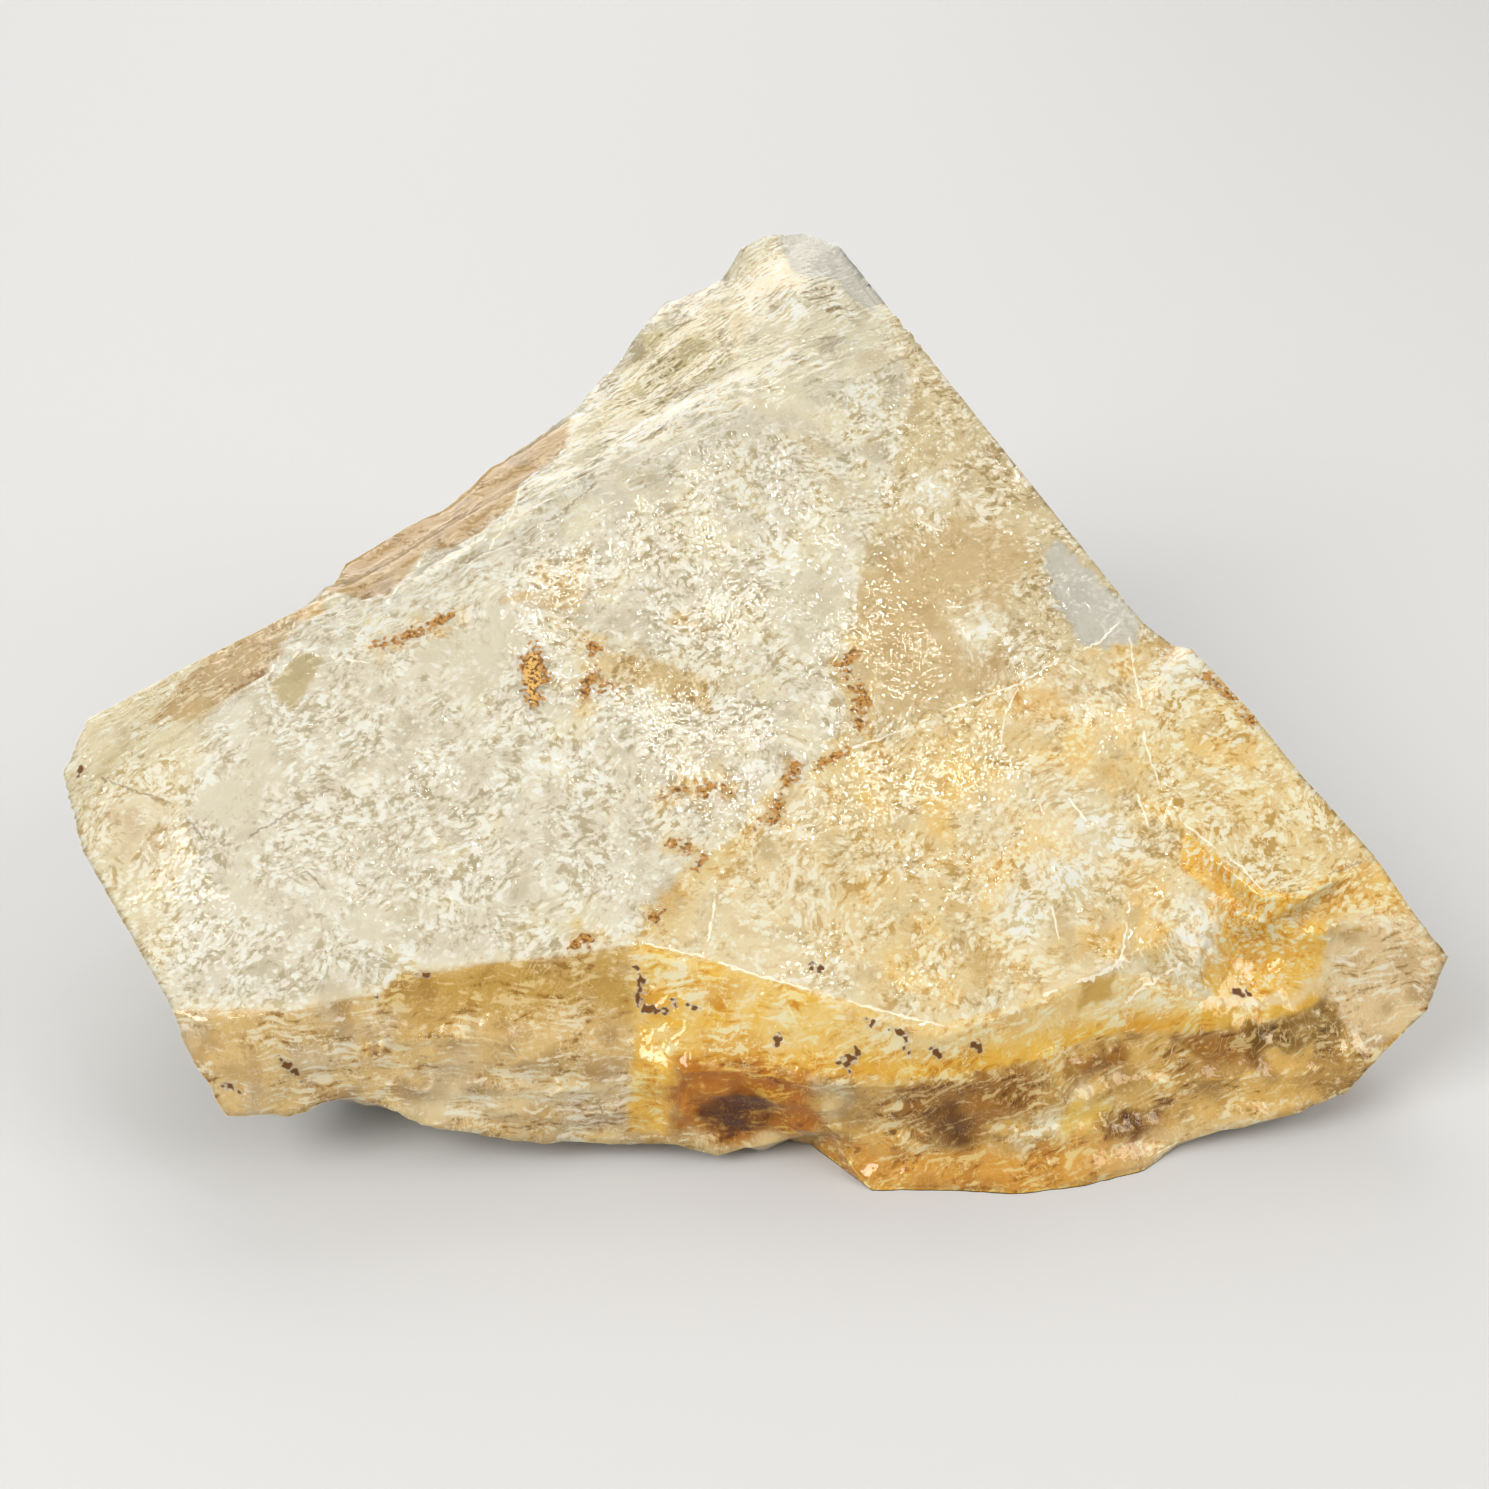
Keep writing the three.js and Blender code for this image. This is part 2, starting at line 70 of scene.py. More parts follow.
class Look:
    # one material and the nodes in it; lengths in its patterns are millimetres
    def __init__(self, name):
        self.material = bpy.data.materials.new(name)
        self.material.use_nodes = True
        self.tree = self.material.node_tree
        self.tree.nodes.clear()
        metres = self.node("ShaderNodeTexCoord", out="Object")
        sockets = {"Vector": metres, "Scale": 1 / mm}
        self.place = self.node("ShaderNodeVectorMath", {"operation": "SCALE"}, sockets)

    def node(self, kind, settings=None, sockets=None, out=0):
        made = self.tree.nodes.new(kind)
        for key, value in (settings or {}).items():
            setattr(made, key, value)
        for key, value in (sockets or {}).items():
            if isinstance(value, Wire):
                self.tree.links.new(value.socket, made.inputs[key])
            else:
                made.inputs[key].default_value = value
        return Wire(self, made.outputs[out])

    def maths(self, operation, a, b=0.0):
        return self.node("ShaderNodeMath", {"operation": operation}, {0: a, 1: b})

    def axes(self, vector):
        split = self.node("ShaderNodeSeparateXYZ", None, {0: vector}).socket.node
        return [Wire(self, split.outputs[axis]) for axis in "XYZ"]

    def attribute(self, name, out="Fac"):
        return self.node("ShaderNodeAttribute", {"attribute_name": name}, out=out)

    def step(self, value, low, high):
        sockets = {"Value": value, "From Min": low, "From Max": high}
        return self.node("ShaderNodeMapRange", {"interpolation_type": "SMOOTHSTEP"}, sockets)

    def grain(self, vector, size, detail, rough=0.5):
        sockets = {"Vector": vector, "Scale": 1 / size, "Detail": detail, "Roughness": rough}
        return self.node("ShaderNodeTexNoise", None, sockets)

    def cells(self, vector):
        # random cells about 1 wide: a colour for each, and how far a place is from its middle
        colour = self.node("ShaderNodeTexVoronoi", None, {"Vector": vector, "Scale": 1.0}, "Color")
        return colour, Wire(self, colour.socket.node.outputs["Distance"])

    def colour(self, a, b, share):
        a, b = (paint if isinstance(paint, Wire) else (*paint, 1) for paint in (a, b))
        settings = {"data_type": "RGBA", "clamp_factor": True}
        return self.node("ShaderNodeMix", settings, {0: share, 6: a, 7: b}, 2)

    def most(self, *masks):
        top = masks[0]
        for mask in masks[1:]:
            top = self.maths("MAXIMUM", top, mask)
        return top

    def bump(self, height, depth):
        return self.node("ShaderNodeBump", None, {"Height": height, "Distance": depth})

    def principled(self, **sockets):
        named = {key.replace("_", " "): value for key, value in sockets.items()}
        return self.node("ShaderNodeBsdfPrincipled", None, named)

    def finish(self, surface):
        output = self.tree.nodes.new("ShaderNodeOutputMaterial")
        self.tree.links.new(surface.socket, output.inputs["Surface"])
        return self.material


def srgb(r, g, b):
    # a colour as a picture program shows it, 0 to 255, as the light it stands for
    def light(c):
        c = c / 255
        return c / 12.92 if c <= 0.04045 else ((c + 0.055) / 1.055) ** 2.4

    return (light(r), light(g), light(b))


# how much of a dark paint shows through the glass, how much more of a pale one, the palest paint
dimming = {"least": 0.38, "more": 0.6, "palest": 0.98}


def seen(r, g, b):
    # the paint that shows as this colour from outside the glass, which keeps part of the light in
    passed = [c / (dimming["least"] + dimming["more"] * c) for c in srgb(r, g, b)]
    return tuple(min(dimming["palest"], c) for c in passed)


crystal = {
    "mergeGap": 0.002,  # corners this close are one
    "longestEdge": 0.85,  # the faces are halved until none of their edges is longer
    "borderEdge": 0.34,  # and shorter still where two colours meet
    "borderReach": 0.35,
    "topLevel": (4, 2),  # how far under its plane the top starts and is full
    "topBorder": (0.5, -0.5),  # and how far in front of its broken edge
    "grainSize": 0.9,
    "topGrain": 0.05,
    "frontGrain": 0.11,
    "grooveDepth": 0.16,
    "grooveStep": 0.85,
    "grooveRight": (-5, -2),  # where the grooves start and are full, across the strip
    "grooveLeft": (4, 2),
    "grooveWander": 1.2,
    "wanderSize": 5,
    "shardSize": 0.8,
    "shardDepth": 0.10,
    "shardReach": (3.4, 1.0),
    "leastShard": 0.01,
    "sharpAngle": 26,
    "bareAngles": (18, 45),  # between these the edges of the breaks get bare, in degrees
    "litEdge": slice(7, 12),  # the stretch of the front edge that gets a painted highlight, a thin bright line drawn with the cracks' paint
    "litEdgeGap": 0.15,  # how far behind the edge that line lies
    "lensRim": 0.3,  # how far the rust reaches out of the lens
    "brokenSize": 1.6,  # how often the lines are broken
}

# the plane that the top lies near: its height in the middle, and its rise to the right and back
topPlane = {"height": 29.6, "right": -0.04, "back": 0.51}

# the grooved strip on the left: a point of its middle line, and the way across it
strip = {"start": (-20.5, 3.8), "across": (-0.517, 0.856)}

# where the milky left part ends and the golden right part starts: (y, x), front to back
veilEdge = [
    (-38, -7.6), (-27.3, -7.5), (-22.2, -3.2), (-16.5, 3.6), (-11.1, 7.5), (-4.9, 8.5),
    (2.1, 9.1), (6.8, 11.3), (14.5, 13.2), (20, 14.5), (26, 13), (38, 9),
]

# the crack between the tan back of the right part and its golden front: (x, y)
crackEdge = [
    (-60, -14), (7.4, -12.9), (11.5, -11.5), (21.8, -7.2), (25.1, -5.2), (30, -2), (60, 4),
]

# where the top breaks off into the front: (x, y), left to right
frontEdge = [
    (-60, -60), (-42, -38), (-40.4, -33.6), (-32, -33.9), (-26.2, -32.2), (-24.6, -30.6),
    (-16, -29.7), (-7.1, -28.3), (-3, -29), (4.7, -31.2), (9.8, -32.4), (13.9, -33.3),
    (19, -31.9), (21.5, -30.9), (25, -29.4), (30, -28.6), (35, -28.5), (41.4, -27.3),
    (43.7, -26.5), (44.5, -24.8), (60, -24),
]

# outlines on the top, seen from above: (x, y)
topOutlines = {
    "window": [
        [
            (24.4, 5.2), (26.2, 5.6), (31.5, -0.8), (31.6, -3.2), (29.2, -3.9), (27.1, -3.6),
            (25.0, 0.2),
        ],
        [(3.0, 37.5), (8.5, 38), (14, 30), (11.5, 27.4), (9.4, 28.6), (8.3, 30.6), (4.6, 31.2)],
    ],
    "khaki": [[(-36.8, -10.2), (-35.0, -6.4), (-32.9, -6.6), (-33.7, -9.6), (-34.5, -12.0)]],
    "calm": [
        [
            (9.6, 1.7), (8.9, -4.9), (10.6, -10.5), (15.3, -9.8), (21.0, -7.1), (19.4, -2.0),
            (23.8, 3.7), (22.8, 6.6), (17.9, 7.2), (12.8, 5.0),
        ],
        [
            (-25.7, -6.5), (-22.8, -4.6), (-19, -3.4), (-17.4, -4.5), (-18.1, -8.1),
            (-20.8, -11.2), (-23.3, -10.4),
        ],
        [(-29.8, -26.2), (-24.8, -25.4), (-22.0, -25.9), (-24.6, -28.2), (-28.3, -29.1)],
        [(-36.7, -23.7), (-34.7, -26.3), (-34.6, -29.5), (-36.1, -28.5), (-37.7, -26.4)],
        [(1.5, -1.5), (5.5, 2.5), (8.8, 1.5), (8.0, -4.5), (4.5, -6.5)],
        [(-40.5, -18.6), (-36.5, -14.5), (-34, -17.5), (-37, -21), (-41, -20.5)],
    ],
    "smear": [
        [(-11.0, -6.1), (-8.3, -6.1), (-2.9, -7.6), (-2.5, -10.5), (-6.1, -9.2), (-10.3, -7.9)],
        [(-6.2, -3.5), (-4.8, -2.2), (-2.6, -4.0), (-4.4, -4.3)],
        [(-19.0, -2.4), (-17.0, -1.0), (-16.6, -2.2), (-18.1, -2.8)],
    ],
    "stain": [
        [(-16.5, 0.7), (-12.5, 1.1), (-11.8, -0.4), (-14.2, -2.5), (-15.0, -3.9), (-16.3, -1.8)],
        [(18.7, -29.2), (21.9, -27.9), (23.5, -28.3), (22.8, -29.8), (20.9, -30.9)],
    ],
    "ochre": [[
        (-13.3, 17.0), (-11, 24), (-8.9, 28.5), (-4.9, 29.3), (-1.5, 33), (0.5, 29.8),
        (0.3, 25.8), (-0.6, 22.3), (-4.6, 19.5), (-9.1, 17.2),
    ]],
    "apex": [[(-0.9, 33.7), (2.6, 36.5), (4.9, 32.6), (5.5, 28.0), (1.5, 29.9), (0.1, 28.5)]],
    "stripBrown": [[
        (-34, 0.3), (-33.4, 6), (-29.5, 10), (-23.5, 15), (-18.6, 19), (-15, 20), (-15.2, 15.2),
        (-18.8, 11.1), (-19.4, 6.9), (-22.0, 3.8), (-26.2, 4.6), (-28.2, -1.6),
    ]],
    # a painted highlight on the grooved strip
    "white": [[(-16, 20), (-14, 27), (-11, 29), (-10.4, 26.8), (-12.3, 23.5)]],
    "tipBrown": [[
        (-47.7, -16.8), (-42.4, -19.6), (-40.9, -24.0), (-43.7, -24.9), (-47.2, -21.8),
        (-48.4, -18.2),
    ]],
    "edgeBrown": [[
        (-36.2, -1.0), (-35.4, -3.4), (-37.2, -8.1), (-42.0, -11.9), (-46, -11), (-42, -4),
    ]],
    "amber": [[
        (33.1, -19.3), (35.3, -21.0), (38.2, -23.5), (39.7, -23.8), (40.7, -24.1), (43.3, -24.5),
        (43.7, -26.7), (41.1, -27.5), (38.3, -28.2), (35.4, -28.7), (34.3, -27.7), (34.2, -25.3),
        (34.8, -23.3), (32.8, -21.8),
    ]],
    "orange": [
        [
            (20.7, -9.0), (21.3, -7.8), (23.8, -7.1), (25.6, -8.4), (25.7, -9.8), (24.3, -10.2),
            (22.4, -9.9),
        ],
        [(28.8, -13.7), (29.2, -14.7), (28.8, -15.5), (28.2, -15.3), (28.3, -14.4)],
        [(-35.5, -2.6), (-34.0, -0.2), (-33.7, -2.4), (-35.1, -3.5)],
    ],
    "flake": [[
        (32.7, -2.9), (35.7, -3.3), (37.5, -5.3), (39.5, -8.0), (43.0, -13.4), (47.4, -19.4),
        (48.9, -21.8), (45.6, -21.2), (41.3, -23.6), (38.5, -23.7), (35.4, -20.6), (33.0, -19.0),
        (32.0, -16.4), (31.4, -13.3), (32.3, -8.8),
    ]],
    "goldFlakes": [[
        (41.0, -24.0), (43.1, -22.7), (45.3, -21.1), (49, -20.6), (51, -24.2), (44.5, -24.8),
    ]],
    "goldPale": [[
        (34.2, -10.6), (36.6, -11.4), (39.8, -12.2), (38.4, -14.1), (35.8, -13.0), (34.3, -12.2),
    ]],
    "clearBlocks": [
        [(22.8, -24.0), (24.9, -24.1), (24.1, -27.0), (23.2, -25.8)],
        [(28.6, -24.1), (29.7, -24.2), (28.2, -28.2), (27.5, -27.8)],
    ],
    "lens": [[
        (-16.7, -5.3), (-15.8, -6.7), (-15.3, -8.5), (-15.7, -10.5), (-16.5, -11.1),
        (-17.2, -9.8), (-17.6, -8.1), (-17.1, -6.4),
    ]],
}

# outlines on the broken front, seen from the front: (x, z)
frontOutlines = {
    "olive": [[
        (-26.2, 14), (-24.4, 15.2), (-8.5, 15.8), (-7.4, 12.1), (-7.9, 11.4), (-13.4, 12.7),
        (-17.5, 12), (-24.3, 11.7),
    ]],
    "column": [[
        (-8.2, 16), (-4.6, 16), (-4.8, 8.8), (-5.1, 5.7), (-5.9, 3.0), (-8.3, 2.9), (-7.8, 11.0),
    ]],
    "band": [[
        (-7.5, 16), (-4.8, 8.8), (-0.4, 9.2), (2.1, 9.1), (4.4, 8.8), (11.1, 8.6), (16.4, 8.6),
        (20.1, 8.7), (25.9, 9.1), (29.9, 9.0), (34.1, 8.4), (38.3, 8.1), (41.4, 8.4), (43.7, 9.2),
        (44.5, 13), (30, 16),
    ]],
    "amberPatch": [[
        (-4.8, 8.8), (-0.4, 9.2), (4.4, 8.8), (5.0, 6.6), (5.8, 3.5), (-0.4, 2.4), (-3.6, 2.7),
        (-5.0, 3.5),
    ]],
    "core": [[(-3.6, 4.9), (-0.4, 6.7), (2.2, 6.7), (2.7, 5.1), (0.9, 3.3), (-2.3, 3.2)]],
    "cream": [
        [
            (5.0, 8.7), (7.3, 8.5), (8.1, 6.6), (6.3, 3.7),
        ],
        [
            (-26, 5.5), (-14, 8.5), (-9, 6.5), (-14, 5.5), (-24, 4),
        ],
    ],
    "darkBand": [
        [
            (11.3, 8.1), (14.1, 8.3), (16.4, 8.2), (20.1, 8.4), (21.8, 6.8), (19.9, 5.2),
            (16.6, 3.8), (11.4, 4),
        ],
        [(23.6, 8.1), (27.4, 8.5), (28.4, 7.6), (26.8, 6.8), (24.4, 6.9)],
        [(32.0, 8.2), (37.5, 8.0), (40.8, 7.4), (38.1, 5.8), (33.6, 6.3)],
        [(26.4, 3.7), (29.0, 3.4), (30.7, 3.3), (31.1, 2.6), (28.7, 1.9), (26.7, 2.5)],
    ],
    "darkest": [
        [(12.9, 6.4), (14.9, 6.6), (16.3, 5.3), (15.8, 3.8), (13.7, 4.0)],
        [(28, 3.3), (30.4, 3.2), (30.2, 2.7), (28.4, 2.6)],
    ],
    "streak": [[
        (19.2, 3.6), (20.8, 4.3), (25.1, 6.6), (27.3, 6.5), (25.6, 5.5), (27.8, 4.6), (23.2, 3.4),
        (19.7, 2.8),
    ]],
    "yellow": [[(23.1, 5.6), (26.1, 5.4), (27.3, 4.3), (25.6, 3.7), (23.4, 3.5)]],
    "khakiDark": [[
        (36.0, 7.5), (38.3, 8.0), (41.4, 8.3), (43.9, 8.7), (44.6, 7.7), (43.2, 6.2), (38.3, 6.4),
    ]],
    "block": [[
        (43.4, 12.4), (44.5, 13.6), (50.0, 15.5), (53, 14), (53, 11), (50.0, 8.0), (46.3, 6.0),
        (44.9, 8.1), (43.7, 9.2), (42.7, 9.7),
    ]],
    "blocks": [[(24.8, 13.9), (27.4, 14.0), (26.9, 11.7), (24.4, 11.2)]],
}

# thin marks on the top, seen from above: (x, y)
topLines = {
    "stain": [
        [(2.5, -18.9), (1.3, -19.2), (0.5, -20.2), (-0.6, -21.2), (-2.1, -22.0)],
        [(-3.2, -22.4), (-3.9, -23.5), (-5.4, -25.1), (-6.5, -26.2), (-6.9, -27.6)],
    ],
    "rust": [
        [(-11.9, -5.6), (-11.5, -7.1), (-10.9, -8.2), (-11.3, -9.1)],
        [(-11.5, -7.6), (-12.2, -9.1), (-12.3, -10.1)],
        [(-11.2, -8.1), (-10.2, -8.7)],
        [(7.3, -6.0), (7.8, -6.3), (8.4, -7.3), (9.3, -8.8), (9.1, -10.7)],
        [(8.6, -5.3), (7.8, -6.3), (9.0, -7.2), (9.8, -9.0), (8.6, -9.6)],
        [(8.1, -12.5), (7.1, -13.4), (5.9, -14.1)],
        [(4.1, -14.3), (3.3, -15.7), (2.8, -17.0), (2.5, -18.3)],
        [(2.5, -18.9), (1.3, -19.2), (0.8, -19.8)],
        [(-3.0, -22.3), (-3.4, -22.8)],
        [(-6.3, -26.0), (-6.6, -26.6)],
        [(-3.0, -17.0), (-2.4, -16.2), (-1.6, -16.4), (-1.2, -16.9)],
        [(-6.1, -17.6), (-5.4, -17.1), (-4.8, -16.8)],
        [(-5.6, -20.9), (-4.0, -21.5)],
        [(-28.9, -5.9), (-25.5, -4.9), (-22.8, -3.5)],
        [(36.5, -6.3), (37.6, -7.7), (38.9, -9.0), (39.6, -10.3)],
        [(-12.2, -28.5), (-11.5, -27.8), (-11.0, -28.4)],
    ],
    "crack": [
        [(7.4, -12.9), (11.5, -11.5), (21.8, -7.2), (25.1, -5.2)],
        [(25.1, -5.2), (26.6, -6.1), (26.9, -7.5)],
        [(24.7, -5.2), (26.3, -4.8), (28.5, -3.4), (29.8, -2.0)],
        [(30.9, -3.1), (31.1, -8.6), (31.1, -11.7), (31.9, -15.2)],
        [(21.8, -7.2), (20.4, -9.9), (19.9, -12.0)],
        [(-2.1, -25.3), (-2.7, -28.4)],
        [(30.1, -16.0), (30.8, -18.7)],
        [(22.6, -17.1), (23.6, -19.3)],
        [(24.9, -16.6), (25.9, -18.0)],
        [(22.9, -24.3), (23.2, -26.5)],
        [(28.7, -24.1), (27.6, -28.5)],
        [(32.2, -27.6), (28.3, -29.5)],
        [(14.6, 6.8), (16.2, 6.1)],
        [(32.7, -18.2), (34.2, -19.3), (35.9, -20.9), (37.3, -22.0), (38.4, -23.6)],
        [(-36.8, -10.2), (-35.0, -6.4), (-32.9, -6.6), (-29.5, -7.4)],
        [(-35.7, -3.3), (-37.2, -9.7)],
        [(-28.2, -2.0), (-27.3, -0.4), (-26.0, 4.1)],
        [(-20.5, 1.9), (-18.9, 4.8), (-18.7, 10.2)],
        [(-15.0, 12.2), (-11.8, 12.9), (-8.0, 16.9)],
        [(-6.7, 16.2), (-3.5, 17.7), (1.4, 17.8), (9.4, 22.4)],
        [(21.7, -30.8), (25.0, -29.4), (28.2, -28.2)],
    ],
    # the grooves' dark lines are painted shade
    "groove": [
        [(-49.1, -15.8), (-42.4, -19.6), (-39.0, -23.2)],
        [(-16.5, 7.3), (-11.6, 10.1), (-6.6, 14.0)],
        [(-16.1, 10.4), (-13.1, 12.9), (-8.0, 15.5)],
        [(-22.3, 0.9), (-19.6, 2.3), (-14.5, 5.6), (-12.2, 8.1)],
        [(-7.8, 10.2), (-6.5, 11.1)],
        [(-5.7, 29.1), (-1.9, 29.0)],
        [(-7.9, 24.2), (-6.1, 25.6)],
        [(-3.3, 32.9), (-1.6, 33.6)],
        [(-6.1, 19.3), (-0.2, 21.3), (8.1, 24.0)],
        [(-3.5, 21.2), (-0.9, 23.9)],
        [(-36.4, -22.0), (-33.3, -19.6), (-31.2, -18.0)],
        [(-33.3, -24.5), (-31.9, -24.3), (-30.7, -25.4)],
        [(41.1, -23.6), (43.0, -23.0), (44.2, -21.9), (46.5, -20.8)],
    ],
}

# small dark specks on the broken front and the rims: (x, y, z)
specks = [
    [(-7.8, -29.5, 14.3), (-7.4, -29.9, 13.6), (-7.6, -30.9, 12.0)],
    [(-8.1, -29.4, 14.5), (-7.7, -29.6, 14.0)],
    [(-7.0, -31.2, 11.7), (-6.4, -31.3, 11.7), (-5.5, -31.3, 11.8)],
    [(-5.1, -31.0, 12.3), (-4.9, -31.2, 12.1)],
    [(-4.1, -31.3, 12.2), (-3.4, -31.4, 12.2)],
    [(4.9, -32.6, 11.9), (4.9, -32.8, 11.6)],
    [(2.6, -33.0, 10.8), (2.4, -33.4, 10.3)],
    [(6.7, -34.4, 9.6), (7.4, -34.2, 9.9), (8.2, -34.4, 9.7)],
    [(7.5, -34.6, 9.3), (7.7, -34.9, 8.9)],
    [(8.0, -33.9, 10.3), (8.5, -34.2, 9.9)],
    [(10.4, -33.3, 11.8), (11.4, -33.6, 11.6)],
    [(8.8, -32.9, 12.1), (9.2, -33.0, 11.9)],
    [(11.7, -33.7, 11.5), (11.7, -34.3, 10.2)],
    [(13.6, -34.3, 10.6), (14.1, -34.4, 10.0)],
    [(16.5, -33.7, 10.5), (17.0, -33.7, 10.1)],
    [(36.7, -27.2, 10.2), (37.7, -27.1, 9.9)],
    [(-23.6, -30.6, 14.6), (-22.7, -30.6, 14.5)],
    [(5.0, -29.3, 14.3), (5.7, -29.6, 14.1)],
    [(-26.6, -31.8, 14.3), (-26.2, -32.3, 13.9)],
    [(-50.9, -14.3, 21.7), (-50.7, -15.0, 21.6)],
    [(-33.1, -35.2, 10.7), (-31.0, -35.2, 7.8)],
    [(-37.0, -35.9, 8.7), (-34.9, -36.3, 7.5)],
]

# middles of the clusters of small bright breaks on the top, which get raised shards and painted
# glints: (x, y)
sparkles = [
    (0.6, 7.4), (3.0, 2.4), (10.8, 17.9), (15.7, 9.7), (4.1, 26.6), (20.8, -25.1), (33.0, -25.4),
    (27.0, -19.0), (19.0, -2.6), (-29.4, -4.4), (-24.5, -30.0), (-22.0, -22.0), (-1.5, 15.8),
    (-14.5, -15.5), (24.0, -22.5), (34.5, -6.0),
]


def distanceToLines(points, lines):
    # how far each point is from the nearest of some lines, each a run of corners
    nearest = np.full(len(points), 1e3)
    for line in lines:
        for start, end in zip(line[:-1], line[1:]):
            a = np.array(start, float)
            b = np.array(end, float)
            along = b - a
            share = np.clip((points - a) @ along / max(along @ along, 1e-9), 0, 1)
            gap = np.linalg.norm(points - a - share[:, None] * along, axis=1)
            nearest = np.minimum(nearest, gap)
    return nearest


def besideLines(points, lines):
    # how far each point is to the left of the nearest line, and below 0 on its right
    nearest = np.full(len(points), 1e3)
    beside = np.full(len(points), 1e3)
    for line in lines:
        gap = distanceToLines(points, [line])
        for start, end in zip(line[:-1], line[1:]):
            (ax, ay), (bx, by) = start, end
            stretch = distanceToLines(points, [[start, end]])
            left = (bx - ax) * (points[:, 1] - ay) - (by - ay) * (points[:, 0] - ax)
            closest = (stretch <= gap + 1e-9) & (gap < nearest)
            beside = np.where(closest, np.sign(left) * gap, beside)
        nearest = np.minimum(nearest, gap)
    return beside


def insideOutlines(points, outlines):
    # how deep each point lies inside the nearest outline, and below 0 outside
    depth = np.full(len(points), -1e3)
    for outline in outlines:
        ring = outline + outline[:1]
        gap = distanceToLines(points, [ring])
        inside = np.zeros(len(points), bool)
        for (ax, ay), (bx, by) in zip(ring[:-1], ring[1:]):
            crosses = (ay > points[:, 1]) != (by > points[:, 1])
            reach = ax + (points[:, 1] - ay) / ((by - ay) or 1e-9) * (bx - ax)
            inside ^= crosses & (points[:, 0] < reach)
        depth = np.maximum(depth, np.where(inside, gap, -gap))
    return depth


def ramp(values, low, high):
    # 0 up to low and 1 from high on, with a soft slope between
    share = np.clip((values - low) / (high - low), 0, 1)
    return share * share * (3 - 2 * share)


def clouds(points, size, octaves):
    # soft random blotches about as wide as size, mostly between 0 and 1
    heights = [noise.fractal(Vector(at) / size, 0.7, 2.0, octaves) for at in points]
    return 0.5 + 0.45 * np.array(heights)


def places(verts):
    # where some points are, one row each
    return np.array([vert.co for vert in verts]) / mm


def keep(mesh, name, values):
    # keeps on each point of a mesh a number, a place or a colour
    kinds = {1: ("FLOAT", "value"), 3: ("FLOAT_VECTOR", "vector"), 4: ("FLOAT_COLOR", "color")}
    kind, field = kinds[values.size // len(mesh.vertices)]
    layer = mesh.attributes.new(name, kind, "POINT")
    layer.data.foreach_set(field, values.astype(np.float32).ravel())


def inFront(place):
    # how far each point is in front of the broken edge of the top
    edgeX, edgeY = np.array(frontEdge).T
    return np.interp(place[:, 0], edgeX, edgeY) - place[:, 1]


def underTop(place):
    # how far each point is below the level of the top face
    x, y, z = place.T
    return topPlane["height"] + topPlane["right"] * x + topPlane["back"] * y - z


def pastTop(place, level):
    # grows quickly below this level under the top, so that what lies on the top ends there
    return 3 * np.maximum(underTop(place) - level, 0)


def acrossStrip(place):
    # how far each point is to the left of the middle line of the grooved strip
    (startX, startY), (acrossX, acrossY) = strip["start"], strip["across"]
    return (place[:, 0] - startX) * acrossX + (place[:, 1] - startY) * acrossY


def borderGap(place):
    # how far each point is from the nearest border or mark that has to look crisp
    top = place[:, :2]
    rings = [outline + outline[:1] for group in topOutlines.values() for outline in group]
    milkBorder = [(x, y) for y, x in veilEdge]
    runs = [run for group in topLines.values() for run in group]
    gap = distanceToLines(top, rings + runs + [milkBorder, frontEdge, crackEdge])
    gap += pastTop(place, 6)
    front = place[:, [0, 2]]
    rings = [outline + outline[:1] for group in frontOutlines.values() for outline in group]
    gapFront = distanceToLines(front, rings) + 3 * np.maximum(-inFront(place), 0)
    return np.minimum(np.minimum(gap, gapFront), distanceToLines(place, specks))


def meshObject(name, bm):
    mesh = bpy.data.meshes.new(name)
    bm.to_mesh(mesh)
    bm.free()
    piece = bpy.data.objects.new(name, mesh)
    bpy.context.scene.collection.objects.link(piece)
    return piece


def smoothFaces(mesh, sharpAngle):
    for face in mesh.polygons:
        face.use_smooth = True
    mesh.set_sharp_from_angle(angle=math.radians(sharpAngle))


def halveEdges(bm, edges):
    bmesh.ops.subdivide_edges(bm, edges=edges, cuts=1, use_grid_fill=True, use_single_edge=True)
    bmesh.ops.triangulate(bm, faces=[face for face in bm.faces if len(face.verts) > 3])


